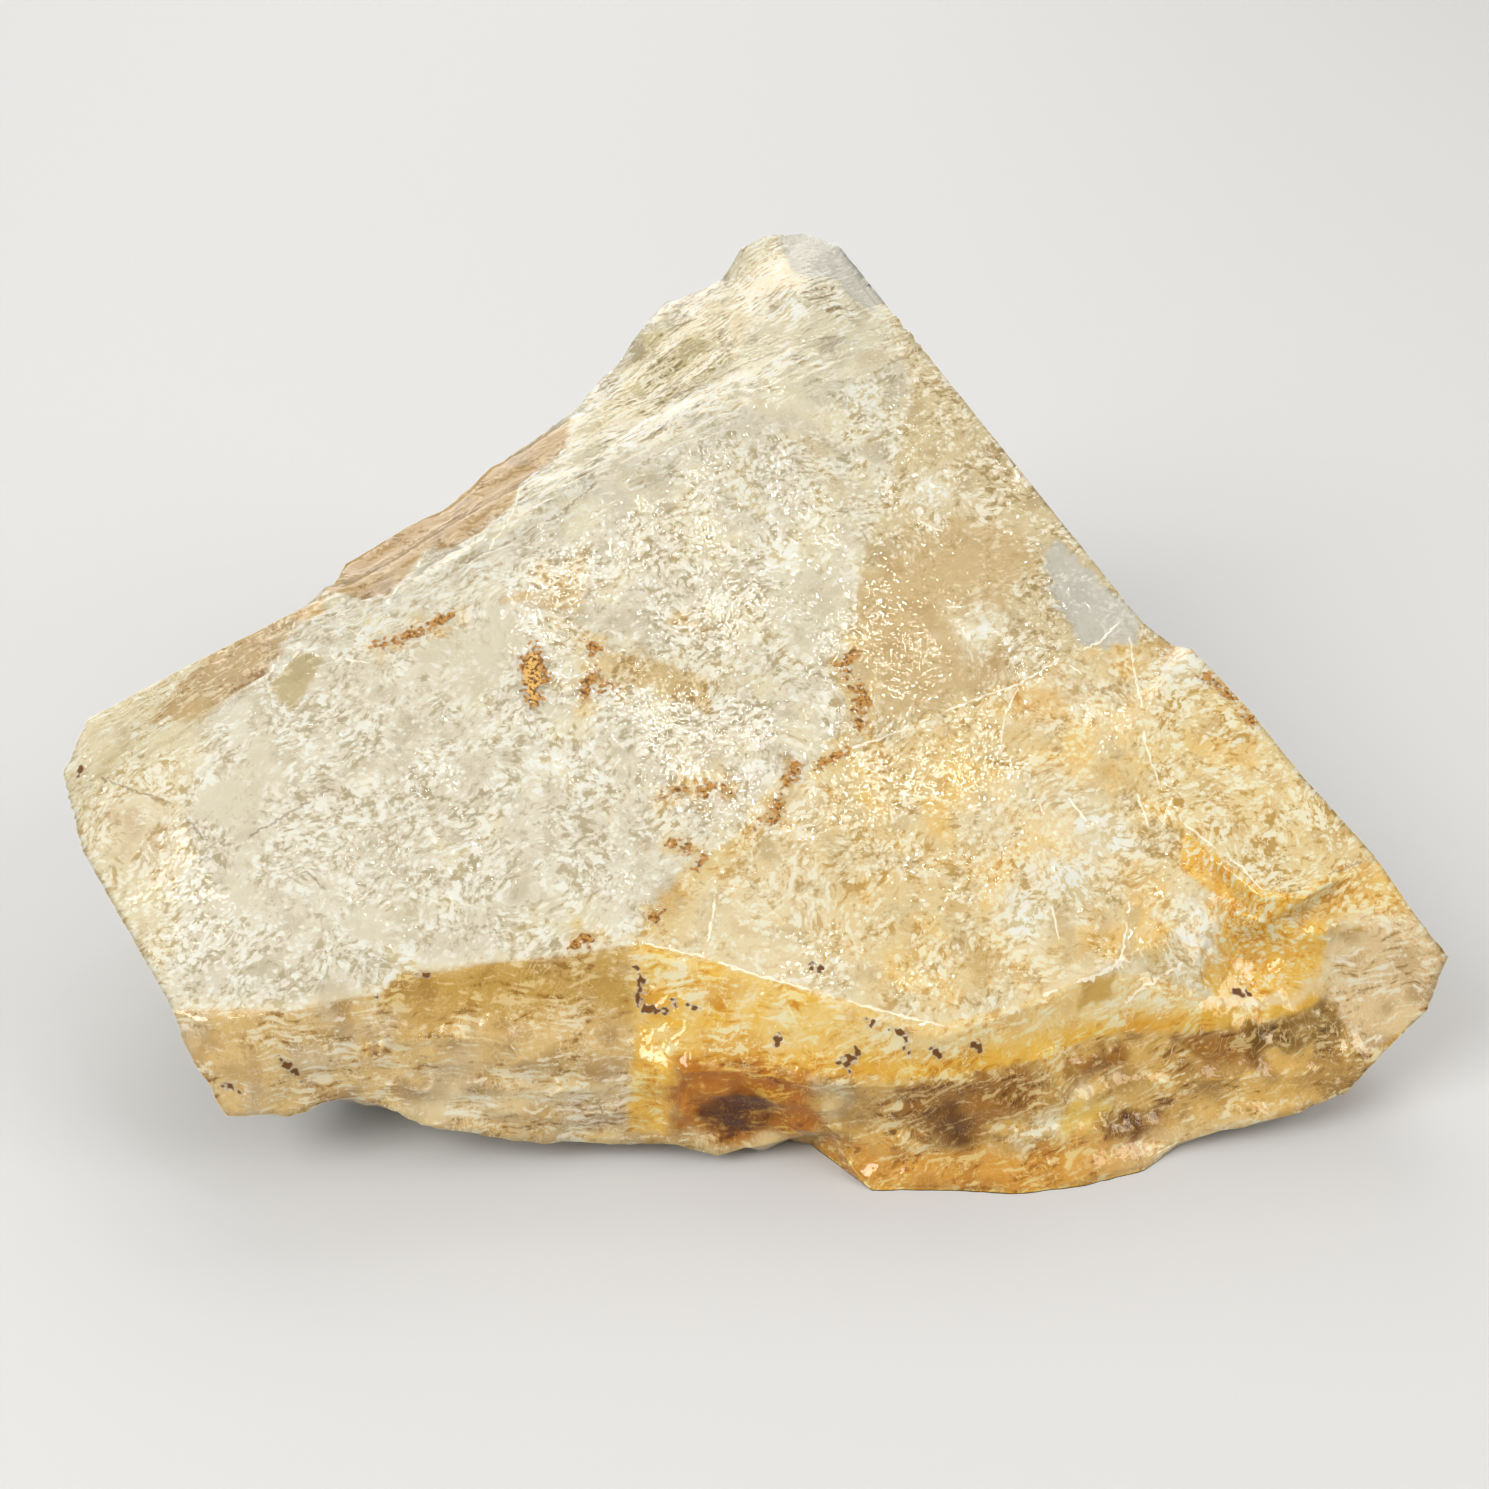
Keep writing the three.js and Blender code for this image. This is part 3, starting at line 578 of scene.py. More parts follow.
def crystalPiece():
    # the clear outside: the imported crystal's own faces, halved and roughened
    bm = bmesh.new()
    bm.from_mesh(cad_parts["quartz_crystal"].data)
    bmesh.ops.remove_doubles(bm, verts=bm.verts, dist=crystal["mergeGap"] * mm)
    while True:
        long = [edge for edge in bm.edges if edge.calc_length() > crystal["longestEdge"] * mm]
        if not long:
            break
        halveEdges(bm, long)
    near = borderGap(places(bm.verts)) < crystal["borderReach"]
    bm.verts.index_update()
    long = [
        edge
        for edge in bm.edges
        if edge.calc_length() > crystal["borderEdge"] * mm
        and any(near[vert.index] for vert in edge.verts)
    ]
    halveEdges(bm, long)
    bm.normal_update()
    angles = [
        max((edge.calc_face_angle_signed(0) for edge in vert.link_edges), default=0)
        for vert in bm.verts
    ]
    place = places(bm.verts)
    isTop = ramp(underTop(place), *crystal["topLevel"])
    isTop *= ramp(inFront(place), *crystal["topBorder"])
    groove = acrossStrip(place)
    isGroove = isTop * ramp(groove, *crystal["grooveRight"]) * ramp(groove, *crystal["grooveLeft"])
    spark = distanceToLines(place[:, :2], [[spot, spot] for spot in sparkles])
    isSpark = isTop * ramp(spark, *crystal["shardReach"])
    wander = crystal["grooveWander"] * clouds(place, crystal["wanderSize"], 2)
    waves = groove / crystal["grooveStep"] + wander
    lift = isGroove * crystal["grooveDepth"] * np.sin(2 * math.pi * waves)
    depth = crystal["frontGrain"] + (crystal["topGrain"] - crystal["frontGrain"]) * isTop
    lift += depth * (clouds(place, crystal["grainSize"], 3) - 0.5) * 2
    for vert, up, shard in zip(bm.verts, lift, isSpark):
        if shard > crystal["leastShard"]:
            at = Vector((vert.co.x + vert.co.y, vert.co.y - vert.co.x, vert.co.z)) / mm
            up += shard * crystal["shardDepth"] * noise.cell(at / crystal["shardSize"])
        vert.co += vert.normal * (up * mm)
        vert.co.z = max(vert.co.z, 0)
    piece = meshObject("quartz_body", bm)
    smoothFaces(piece.data, crystal["sharpAngle"])
    addMarks(piece.data)
    keep(piece.data, "edge", ramp(np.degrees(angles), *crystal["bareAngles"]))
    return piece


def addMarks(mesh):
    # keeps on each point how far it is from the rust, the specks, the cracks with the painted
    # highlight of the front edge, and the grooves' painted shade
    place = places(mesh.vertices)
    top = place[:, :2]
    below = pastTop(place, 4.5)
    lens = crystal["lensRim"] - insideOutlines(top, topOutlines["lens"])
    rust = np.minimum(distanceToLines(top, topLines["rust"]), lens)
    # the painted highlight of the front edge: a thin bright line laid with the cracks, a little
    # behind the edge
    litEdge = [(x, y + crystal["litEdgeGap"]) for x, y in frontEdge[crystal["litEdge"]]]
    cracksAndEdgeHighlight = topLines["crack"] + [litEdge]
    distances = {
        "rust": rust + below,
        "speck": distanceToLines(place, specks),
        "crack": distanceToLines(top, cracksAndEdgeHighlight) + below,
        "groove": distanceToLines(top, topLines["groove"]) + below,
        "crackSide": besideLines(top, cracksAndEdgeHighlight),
        "grooveSide": besideLines(top, topLines["groove"]),
        "broken": clouds(place, crystal["brokenSize"], 2),
    }
    for name, values in distances.items():
        keep(mesh, name, values)


glass = {
    "ior": 1.544,
    "absorption": (3, 8, 17),  # of red, green and blue light, per metre of quartz
    "cover": 0.12 * mm,  # as much of it as lies over the cloudy heart
    "mirrorTint": (1.0, 0.93, 0.80, 1),
    "gritSize": 0.36,
    "gritDepth": 0.035,
}

# thin marks on the glass: how wide they are, and full up to which share of that, how ragged, how
# full of gaps, how much of the glass they cover, and how far a line reaches at its ends
marks = {
    "rust": {"wide": 0.34, "full": 0.3, "ragged": 1.5, "gaps": 1.2, "cover": 0.85},
    "speck": {"wide": 0.25, "full": 0.3, "ragged": 0.8, "gaps": 0.5, "cover": 0.95},
    "crack": {"wide": 0.12, "full": 0.4, "ragged": 0.35, "reach": 0.36, "gaps": 1.5, "cover": 0.5},
    # the groove lines are painted shade
    "groove": {"wide": 0.13, "full": 0.4, "ragged": 0.35, "reach": 0.34, "gaps": 1.7, "cover": 0.4},
}

# where the rust changes colour: in the lens, and by its grain
rustPatches = {
    "grain": 0.24,
    "lens": (0.1, -0.3),
    "dark": (0.44, 0.58),
    "darkShare": 0.8,
    "darkest": (0.56, 0.64),
}
# paints of the marks: the crack paint also draws the painted highlight of the front edge, the
# groove paint is painted shade
markPaints = {
    "crack": srgb(252, 246, 226),
    "groove": srgb(140, 108, 62),
    "speck": srgb(96, 58, 12),
    "rust": srgb(176, 126, 58),
    "rustInLens": srgb(214, 168, 92),
    "rustDark": srgb(122, 82, 30),
    "rustDarkest": srgb(100, 62, 18),
}


def crystalLook():
    look = Look("quartz")
    grit = look.grain(look.place, glass["gritSize"], 0.0)
    broken = look.attribute("broken")

    def spot(name):
        mark = marks[name]
        gap = look.attribute(name) + (grit - 0.5) * mark["ragged"]
        gap = gap + (broken - 0.5) * mark["gaps"]
        return look.step(gap, mark["wide"], mark["wide"] * mark["full"])

    def hair(name):
        # a thin line, which wanders a little and is gone here and there
        mark = marks[name]
        side = look.attribute(name + "Side") + (grit - 0.5) * mark["ragged"]
        gap = look.attribute(name) + (broken - 0.5) * mark["gaps"]
        along = look.step(gap, mark["reach"], mark["reach"] * mark["full"])
        side = look.maths("ABSOLUTE", side)
        return look.step(side, mark["wide"], mark["wide"] * mark["full"]) * along

    isMark = {name: spot(name) for name in ("rust", "speck")}
    isMark |= {name: hair(name) for name in ("crack", "groove")}
    inLens = look.step(look.attribute("rust"), *rustPatches["lens"])
    rustGrain = look.grain(look.place, rustPatches["grain"], 1.0)
    isDark = look.step(rustGrain, *rustPatches["dark"]) * rustPatches["darkShare"]
    isDarkest = look.step(rustGrain, *rustPatches["darkest"])
    rust = look.colour(markPaints["rust"], markPaints["rustInLens"], inLens)
    rust = look.colour(rust, markPaints["rustDark"], isDark)
    rust = look.colour(rust, markPaints["rustDarkest"], isDarkest)
    # cream cracks with the front edge's painted highlight, grooves in painted shade, then rust and
    # specks
    paint = look.colour(markPaints["crack"], markPaints["groove"], isMark["groove"])
    paint = look.colour(paint, rust, isMark["rust"])
    paint = look.colour(paint, markPaints["speck"], isMark["speck"])
    cover = look.most(*[isMark[name] * marks[name]["cover"] for name in marks])
    passed = [math.exp(-loss * glass["cover"]) for loss in glass["absorption"]]
    dull = look.principled(Base_Color=paint, Roughness=0.6, Specular_IOR_Level=0.2)
    glassy = look.principled(
        Base_Color=(*passed, 1),
        Roughness=0.0,
        IOR=glass["ior"],
        Transmission_Weight=1.0,
        Specular_Tint=glass["mirrorTint"],
        Normal=look.bump(grit, glass["gritDepth"] * mm),
    )
    return look.finish(look.node("ShaderNodeMixShader", None, {0: cover, 1: glassy, 2: dull}))


veil = {
    "depth": 0.12,  # how far it lies under the outside
    "depthRange": 0.06,
    "depthSize": 2.5,
    "cover": 0.045,  # glass left over it, but for the sharp edges
    "bareEdge": 0.01,  # how far it stands out there
    "windowDepth": 0.5,
    "windowBorder": (-0.3, 0.5),
    "floorGap": 0.10,
    "smoothing": 3,
    "coverPasses": 3,
    "coverSpare": 1.1,
    "coveredBelow": 0.5,  # sharper edges than this stay bare
    "sharpAngle": 50,
    "shortFleck": (0.44, 0.33, 0.4),
    "longFleck": (2.6, 0.21, 0.45),
    "levelFleck": (1.9, 0.7, 0.30),
    "shortTurn": 42,  # degrees from the right towards the back
    "longTurn": 31,
    "bend": (0.5, 1.6),  # how far a place is pushed about, and the size of that pattern
    "swirl": (1.6, 7),
    "climb": (2, 16),  # from here to there the front's flecks start to climb
    "climbAngle": 0.3,
}


def meanNormal(vert, normals):
    around = (normals[edge.other_vert(vert).index] for edge in vert.link_edges)
    return sum(around, normals[vert.index] * 2).normalized()


def veilPiece(body):
    # the cloudy heart, which follows the outside a little way under it
    bm = bmesh.new()
    bm.from_mesh(body.data)
    skin = BVHTree.FromBMesh(bm)
    bm.normal_update()
    place = places(bm.verts)
    window = ramp(insideOutlines(place[:, :2], topOutlines["window"]), *veil["windowBorder"])
    window *= ramp(underTop(place), *crystal["topLevel"])
    uneven = clouds(place, veil["depthSize"], 2) - 0.5
    depths = veil["depth"] + veil["depthRange"] * 2 * uneven
    depths += window * veil["windowDepth"]
    edge = np.zeros(len(place))
    body.data.attributes["edge"].data.foreach_get("value", edge)
    depths -= (depths + veil["bareEdge"]) * edge
    normals = [vert.normal.copy() for vert in bm.verts]
    for _ in range(veil["smoothing"]):
        normals = [meanNormal(vert, normals) for vert in bm.verts]
    for vert, depth, normal in zip(bm.verts, depths, normals):
        vert.co -= normal * (depth * mm)
    covered = [vert for vert, share in zip(bm.verts, edge) if share < veil["coveredBelow"]]
    for _ in range(veil["coverPasses"]):
        for vert in covered:
            near, outwards, _, _ = skin.find_nearest(vert.co)
            if (vert.co - near).dot(outwards) > -veil["cover"] * mm:
                vert.co = near - outwards * (veil["cover"] * veil["coverSpare"] * mm)
    for vert in bm.verts:
        vert.co.z = max(vert.co.z, veil["floorGap"] * mm)
    piece = meshObject("quartz_veil", bm)
    smoothFaces(piece.data, veil["sharpAngle"])
    for name in ("rust", "speck", "crack", "groove", "crackSide", "grooveSide", "broken", "edge"):
        piece.data.attributes.remove(piece.data.attributes[name])
    addTints(piece.data, place)
    return piece


# tints of the parts of the heart: for its dark gaps, its body and its bright flecks
veilTints = {
    "milk": ((160, 144, 108), (216, 202, 170), (255, 241, 216)),
    "milkShade": ((148, 132, 98), (198, 184, 152), (238, 224, 194)),
    # painted glints of the sparkle clusters
    "spark": ((202, 178, 124), (238, 222, 178), (255, 244, 226)),
    "milkWarm": ((160, 134, 88), (218, 202, 158), (254, 236, 204)),
    "tan": ((140, 112, 68), (196, 171, 121), (246, 230, 192)),
    "gold": ((172, 128, 64), (216, 182, 120), (250, 228, 180)),
    "goldDeep": ((184, 118, 38), (230, 172, 86), (255, 224, 156)),
    # also laid as painted glints and as the painted highlight along the front edge
    "pale": ((196, 170, 118), (236, 216, 170), (255, 241, 211)),
    "strip": ((112, 92, 58), (202, 188, 148), (248, 238, 216)),
    "stripBrown": ((104, 70, 30), (158, 120, 68), (190, 158, 106)),
    "ochre": ((108, 88, 46), (184, 164, 114), (242, 227, 185)),
    "tip": ((166, 138, 88), (214, 194, 146), (250, 234, 200)),
    "tipBrown": ((166, 130, 84), (222, 200, 154), (252, 232, 198)),
    "calmMilk": ((186, 170, 132), (208, 195, 160), (232, 220, 194)),
    "calmGold": ((164, 128, 78), (188, 154, 102), (216, 188, 142)),
    "window": ((154, 152, 138), (178, 174, 158), (214, 205, 191)),
    "khaki": ((134, 112, 70), (172, 150, 104), (200, 182, 138)),
    "smear": ((136, 96, 40), (188, 148, 82), (228, 198, 144)),
    "stain": ((176, 120, 48), (214, 172, 98), (242, 215, 162)),
    # painted highlight on the grooved strip
    "white": ((226, 222, 206), (248, 245, 232), (254, 247, 240)),
    "flake": ((168, 124, 56), (224, 190, 124), (254, 235, 191)),
    "orange": ((186, 110, 30), (212, 150, 66), (238, 192, 117)),
    "amber": ((206, 114, 14), (255, 172, 60), (255, 228, 166)),
    "olive": ((126, 80, 12), (168, 120, 36), (208, 168, 90)),
    "band": ((206, 132, 40), (238, 182, 88), (254, 222, 154)),
    "edgeBrown": ((116, 78, 34), (168, 130, 76), (216, 188, 138)),
    "bandPale": ((206, 140, 50), (240, 188, 104), (255, 226, 172)),
    "bandCream": ((202, 156, 88), (234, 200, 136), (254, 232, 190)),
    "bandDeep": ((190, 106, 8), (232, 158, 44), (252, 208, 118)),
    "clear": ((128, 84, 34), (212, 166, 98), (250, 220, 168)),
    "low": ((116, 70, 18), (214, 156, 74), (250, 216, 150)),
    "amberPatch": ((112, 52, 0), (170, 88, 0), (224, 158, 50)),
    "core": ((44, 14, 0), (70, 28, 0), (124, 72, 12)),
    "darkBand": ((84, 46, 6), (138, 84, 22), (204, 160, 90)),
    "darkest": ((56, 28, 4), (82, 46, 10), (158, 111, 53)),
    "streak": ((206, 160, 88), (244, 210, 148), (255, 238, 200)),
    "yellow": ((210, 146, 28), (232, 176, 60), (252, 212, 120)),
    "khakiDark": ((58, 36, 6), (104, 72, 22), (184, 146, 80)),
    "block": ((144, 104, 56), (224, 184, 126), (255, 232, 194)),
    "bottom": ((170, 124, 62), (222, 184, 120), (252, 229, 185)),
    "bottomGold": ((146, 78, 2), (214, 126, 12), (246, 192, 90)),
    "lowDark": ((92, 56, 16), (150, 106, 48), (220, 180, 112)),
    "clearGrey": ((128, 98, 60), (196, 164, 116), (246, 224, 188)),
}


# the stretches laid over the top, in order:
# outline, tint, how ragged and how soft its border is, its share, how strong its flecks are
topLayers = [
    ("stripBrown", "stripBrown", 0.4, 0.15, 0.9, 0.6),
    ("ochre", "ochre", 0.9, 0.5, 0.9, 1.3),
    # the painted highlight on the strip
    ("white", "white", 0.3, 0.1, 0.9, 0.5),
    ("apex", "milkWarm", 0.8, 0.4, 0.9, 1.5),
    ("tipBrown", "tipBrown", 0.9, 0.5, 0.8, 0.9),
    ("edgeBrown", "edgeBrown", 0.9, 0.5, 0.8, 0.9),
    ("smear", "smear", 0.7, 0.3, 0.7, 0.8),
    ("flake", "flake", 0.5, 0.2, 0.8, 1.5),
    ("goldPale", "goldDeep", 0.8, 0.3, 0.6, 0.5),
    ("orange", "orange", 1.1, 0.6, 0.55, 1.0),
    ("amber", "amber", 0.6, 0.25, 0.95, 1.1),
    ("goldFlakes", "goldDeep", 0.4, 0.2, 0.8, 1.3),
    ("clearBlocks", "calmGold", 0.2, 0.1, 0.7, 0.4),
    ("khaki", "khaki", 0.1, 0.1, 0.95, 0.4),
    ("window", "window", 0.8, 0.25, 0.9, 0.7),
]

# and over the broken front
frontLayers = [
    ("olive", "olive", 1.2, 1.3, 0.8, 1.2),
    ("column", "band", 0.5, 0.4, 0.9, 1.0),
    ("band", "band", 0.3, 0.12, 0.95, 1.1),
    ("amberPatch", "amberPatch", 1.0, 0.8, 0.95, 1.0),
    ("core", "core", 1.2, 0.9, 0.95, 0.8),
    ("cream", "streak", 0.6, 0.4, 0.5, 1.0),
    ("darkBand", "darkBand", 1.0, 0.5, 0.9, 1.0),
    ("darkest", "darkest", 1.3, 0.9, 0.85, 1.0),
    ("streak", "streak", 0.7, 0.4, 0.8, 1.3),
    ("yellow", "yellow", 0.6, 0.4, 0.7, 0.8),
    ("khakiDark", "khakiDark", 0.9, 0.5, 0.75, 1.2),
    ("block", "block", 0.3, 0.12, 0.9, 0.8),
    ("blocks", "olive", 0.2, 0.1, 0.7, 0.5),
]


# the soft patterns that the tints follow: size, octaves, and a shift that makes each its own
patterns = {
    "rough": (1.4, 2, 0),
    "cloud": (4.5, 3, 0),
    "patch": (10, 2, 0),
    "haze": (2.6, 3, 40),
    "strength": (3.4, 2, -40),
    "shade": (2.4, 2, 90),
}

# where a tint or a border starts and is full in what it follows, how ragged it is, and its share
spread = {
    "isMilk": (-0.12, 0.12, 0.8, 1),
    "isBack": (-0.2, 0.4, 1.2, 1),
    "goldDeep": (0.48, 0.72, 0, 0.8),
    "pale": (0.5, 0.7, 0, 0.5),
    "milkWarm": (0.44, 0.74, 0, 1),
    "milkShade": (0.50, 0.66, 0.06, 0.8),
    "tanShade": (0.52, 0.68, 0.06, 0.6),
    "tip": (40, 43, 1.5, 1),
    "stain": (-0.8, 0.8, 2, 0.5),
    "strip": (0.6, 1.6, 1, 1),
    "stripRight": (14, 8, 0, 1),
    "stripTip": (33, 35, 0, 1),
    "halo": (1.3, 0.2, 1.5, 0.7),
    # where the painted glints around the sparkle clusters spread
    "paleSpark": (3.8, 0.8, 2.4, 1),
    "spark": (2.1, 0.5, 1.8, 0.9),
    # a pale band just behind the top's front edge: the painted highlight of that edge
    "edgeHighlightAhead": (1.0, 0.3, 0.4, 0.6),
    "edgeHighlightBehind": (-0.2, 0.1, 0.2, 1),
    "isFront": (-0.08, 0.08, 0.1, 1),
    "onFront": (-0.3, 0.1, 0, 1),
    "isRight": (-8.0, -7.4, 0.4, 1),
    "clearGrey": (0.48, 0.64, 0.1, 0.8),
    "lowDark": (0.50, 0.66, 0.1, 0.7),
    "bottom": (3.2, 1.6, 1.2, 0.8),
    "bottomGold": (3.4, 2.2, 1.2, 0.8),
    "bottomLeft": (2, 6, 0, 1),
    "bottomRight": (34, 22, 0, 1),
    "bandPale": (0.50, 0.68, 0.08, 0.9),
    "bandHazy": (0.46, 0.30, 0.08, 0.9),
    "bandCream": (9, 15, 0, 0.6),
    "creamHeight": (9.8, 11.2, 0, 1),
    "bandLow": (10.4, 9.4, 0.6, 0.9),
    "strong": (0.35, 0.65, 0, 0.7),
    "streaky": (-4.5, -1.5, 0, 0.85),
}

# other numbers of the tints
tintParts = {
    "warmer": 0.012,  # how much warmer the gold and the milk get per millimetre to the right
    "goldFrom": 15,
    "milkFrom": -12,
    "calm": (1.4, 0.5),  # how ragged and how soft the calm stretches are
    "calmShare": 0.8,
    # share of the paler paint in the painted glints
    "paleSparkShare": 0.6,
    "cloudLift": 0.16,
    "cloudReach": 6,  # how far the clouds push a border, in millimetres
    "leastStrength": 0.6,
    "calmerGold": 0.15,
    "streakyFront": 0.75,
}


class Tints:
    # the colours of the heart at each of its points, laid one over another
    def __init__(self, count):
        names = ("darkTint", "bodyTint", "brightTint")
        self.layers = {name: np.zeros((count, 3)) for name in names}
        self.busy = np.ones(count)  # how strong its flecks are
        self.lift = np.zeros(count)  # how far they lean to the bright ones

    def lay(self, name, mask=1.0, busy=1.0, lift=0.0):
        mask = np.broadcast_to(mask, self.busy.shape)
        for layer, tint in zip(self.layers.values(), veilTints[name]):
            layer += mask[:, None] * (np.array(seen(*tint)) - layer)
        self.busy += mask * (busy - self.busy)
        self.lift += mask * (lift - self.lift)


def addTints(mesh, place):
    x, y, z = place.T
    top = place[:, :2]
    front = place[:, [0, 2]]
    rough, cloud, patch, haze, strength, shade = (
        clouds(place + shift, size, octaves) for size, octaves, shift in patterns.values()
    )
    wild = (rough - 0.5) * 2
    below = pastTop(place, 5)
    ahead = inFront(place)
    groove = acrossStrip(place)

    def follow(name, values):
        start, full, ragged, share = spread[name]
        return share * ramp(values + wild * ragged, start, full)

    def onTop(name, ragged, soft):
        return ramp(insideOutlines(top, topOutlines[name]) - below + wild * ragged, -soft, soft)

    def onFront(name, ragged, soft):
        depth = insideOutlines(front, frontOutlines[name])
        return ramp(depth + wild * ragged, -soft, soft) * follow("onFront", ahead)

    def warmer(start):
        return cloud + (x - start) * tintParts["warmer"]

    edgeY, edgeX = np.array(veilEdge).T
    isMilk = follow("isMilk", np.interp(y, edgeY, edgeX) - x)
    crackX, crackY = np.array(crackEdge).T
    isBack = follow("isBack", y - np.interp(x, crackX, crackY))

    tints = Tints(len(place))
    tints.lay("gold")
    tints.lay("goldDeep", follow("goldDeep", warmer(tintParts["goldFrom"])))
    tints.lay("pale", follow("pale", patch))
    tints.lay("tan", isBack)
    tints.lay("milk", isMilk)
    tints.lay("milkWarm", isMilk * follow("milkWarm", warmer(tintParts["milkFrom"])))
    tints.lay("milkShade", isMilk * follow("milkShade", haze))
    tints.lay("tan", (1 - isMilk) * follow("tanShade", haze))
    tints.lay("tip", follow("tip", -x))
    tints.lay("stain", follow("stain", insideOutlines(top, topOutlines["stain"])))
    isStrip = follow("strip", groove) * follow("stripRight", x)
    tints.lay("strip", isStrip * (1 - follow("stripTip", -x)))
    isCalm = onTop("calm", *tintParts["calm"]) * tintParts["calmShare"]
    tints.lay("calmMilk", isCalm * isMilk, busy=0.5)
    tints.lay("calmGold", isCalm * (1 - isMilk), busy=0.55)
    for outline, tint, ragged, soft, share, busy in topLayers:
        tints.lay(tint, share * onTop(outline, ragged, soft), busy)
    stained = distanceToLines(top, topLines["rust"] + topLines["stain"]) + below
    tints.lay("stain", follow("halo", stained))
    # painted glints around the sparkle clusters: paler paint and strong bright flecks
    spark = distanceToLines(top, [[spot, spot] for spot in sparkles]) + below
    isSpark = follow("paleSpark", spark)
    paleSpark = tintParts["paleSparkShare"] * isSpark * (1 - isMilk)
    tints.lay("pale", paleSpark, busy=1.4, lift=0.03)
    tints.lay("spark", follow("spark", spark), busy=2.0, lift=0.06)
    tints.lift += (cloud - 0.5) * tintParts["cloudLift"]
    # painted highlight: a pale band just behind the front edge of the top
    tints.lay("pale", follow("edgeHighlightAhead", -ahead) * follow("edgeHighlightBehind", -ahead), busy=0.6)

    # the broken front
    isFront = follow("isFront", ahead)
    isRight = follow("isRight", x)
    tints.lay("clear", isFront * (1 - isRight))
    tints.lay("low", isFront * isRight)
    tints.lay("clearGrey", isFront * (1 - isRight) * follow("clearGrey", cloud))
    tints.lay("lowDark", isFront * isRight * follow("lowDark", cloud))
    tints.lay("bottom", isFront * follow("bottom", z))
    isMiddle = follow("bottomLeft", x) * follow("bottomRight", x)
    tints.lay("bottomGold", isFront * follow("bottomGold", z) * isMiddle)
    for outline, tint, ragged, soft, share, busy in frontLayers:
        here = share * onFront(outline, ragged, soft)
        tints.lay(tint, here, busy)
        if tint == "band":
            isCream = follow("bandCream", x + cloud * tintParts["cloudReach"])
            tints.lay("bandPale", here * follow("bandPale", haze), busy)
            tints.lay("bandDeep", here * follow("bandHazy", haze), busy)
            tints.lay("bandCream", here * isCream * follow("creamHeight", z), busy)
            tints.lay("bandDeep", here * follow("bandLow", z), busy)

    tints.busy *= tintParts["leastStrength"] + follow("strong", strength)
    isGold = (1 - isMilk) * (1 - isSpark) * (1 - isFront)
    tints.busy *= 1 - tintParts["calmerGold"] * isGold

    # how the flecks run: short ones on the top, long ones along the grooves and the front
    def pushed(points, amount, size):
        return points + amount * np.array([noise.noise_vector(Vector(at) / size) for at in place])

    def along(points, turn, stretch):
        c, s = math.cos(math.radians(turn)), math.sin(math.radians(turn))
        x, y, z = points.T
        return np.stack([x * c + y * s, y * c - x * s, z], 1) / np.array(stretch)

    bent = pushed(place, *veil["bend"])
    swirled = pushed(bent, *veil["swirl"])
    # on the front they are level on the left and climb to the right on the right
    climb = ramp(x, *veil["climb"]) * veil["climbAngle"]
    across = bent[:, 0] * np.cos(climb) + bent[:, 2] * np.sin(climb)
    upwards = bent[:, 2] * np.cos(climb) - bent[:, 0] * np.sin(climb)
    level = np.stack([across, bent[:, 1], upwards], 1) / np.array(veil["levelFleck"])
    short = along(swirled, veil["shortTurn"], veil["shortFleck"])
    grooved = along(bent, veil["longTurn"], veil["longFleck"])
    long = np.where(ahead[:, None] > 0, level, grooved)
    streaky = follow("streaky", groove + (cloud - 0.5) * tintParts["cloudReach"])
    streaky = np.maximum(streaky, isFront * tintParts["streakyFront"])
    opaque = np.ones((len(place), 1))
    for name, layer in tints.layers.items():
        keep(mesh, name, np.hstack([layer, opaque]))
    keep(mesh, "busy", tints.busy)
    keep(mesh, "lift", tints.lift)
    keep(mesh, "short", short)
    keep(mesh, "long", long)
    keep(mesh, "streaky", streaky)
    keep(mesh, "shade", shade)


# how the heart's flecks are mixed from its patterns; a pair is where a mask starts and is full
flecks = {
    "fineSize": 0.42,
    "softSize": 2.2,
    "streakSize": 1.2,
    "bitsShare": 0.50,
    "fineShare": 0.5,
    "seamShare": 0.12,
    "shortLevel": 0.47,
    "streakShare": 1.5,
    "streakFine": 0.4,
    "streakLevel": 0.45,
    "veinShare": 0.55,
    "shadowShare": 0.5,
    "threadShare": 0.6,
    "seam": (0.40, 0.75),
    "dark": (-0.04, -0.34),
    "bright": (0.04, 0.20),
    "shadow": (0.5, 0.8),
    "thread": (0.026, 0.006),  # bright threads, where the soft grain is near its level
    "threadLevel": 0.53,
    "vein": (0.016, 0.004),  # dark ones
    "veinLevel": 0.44,
    "veinShade": (0.42, 0.58),
}


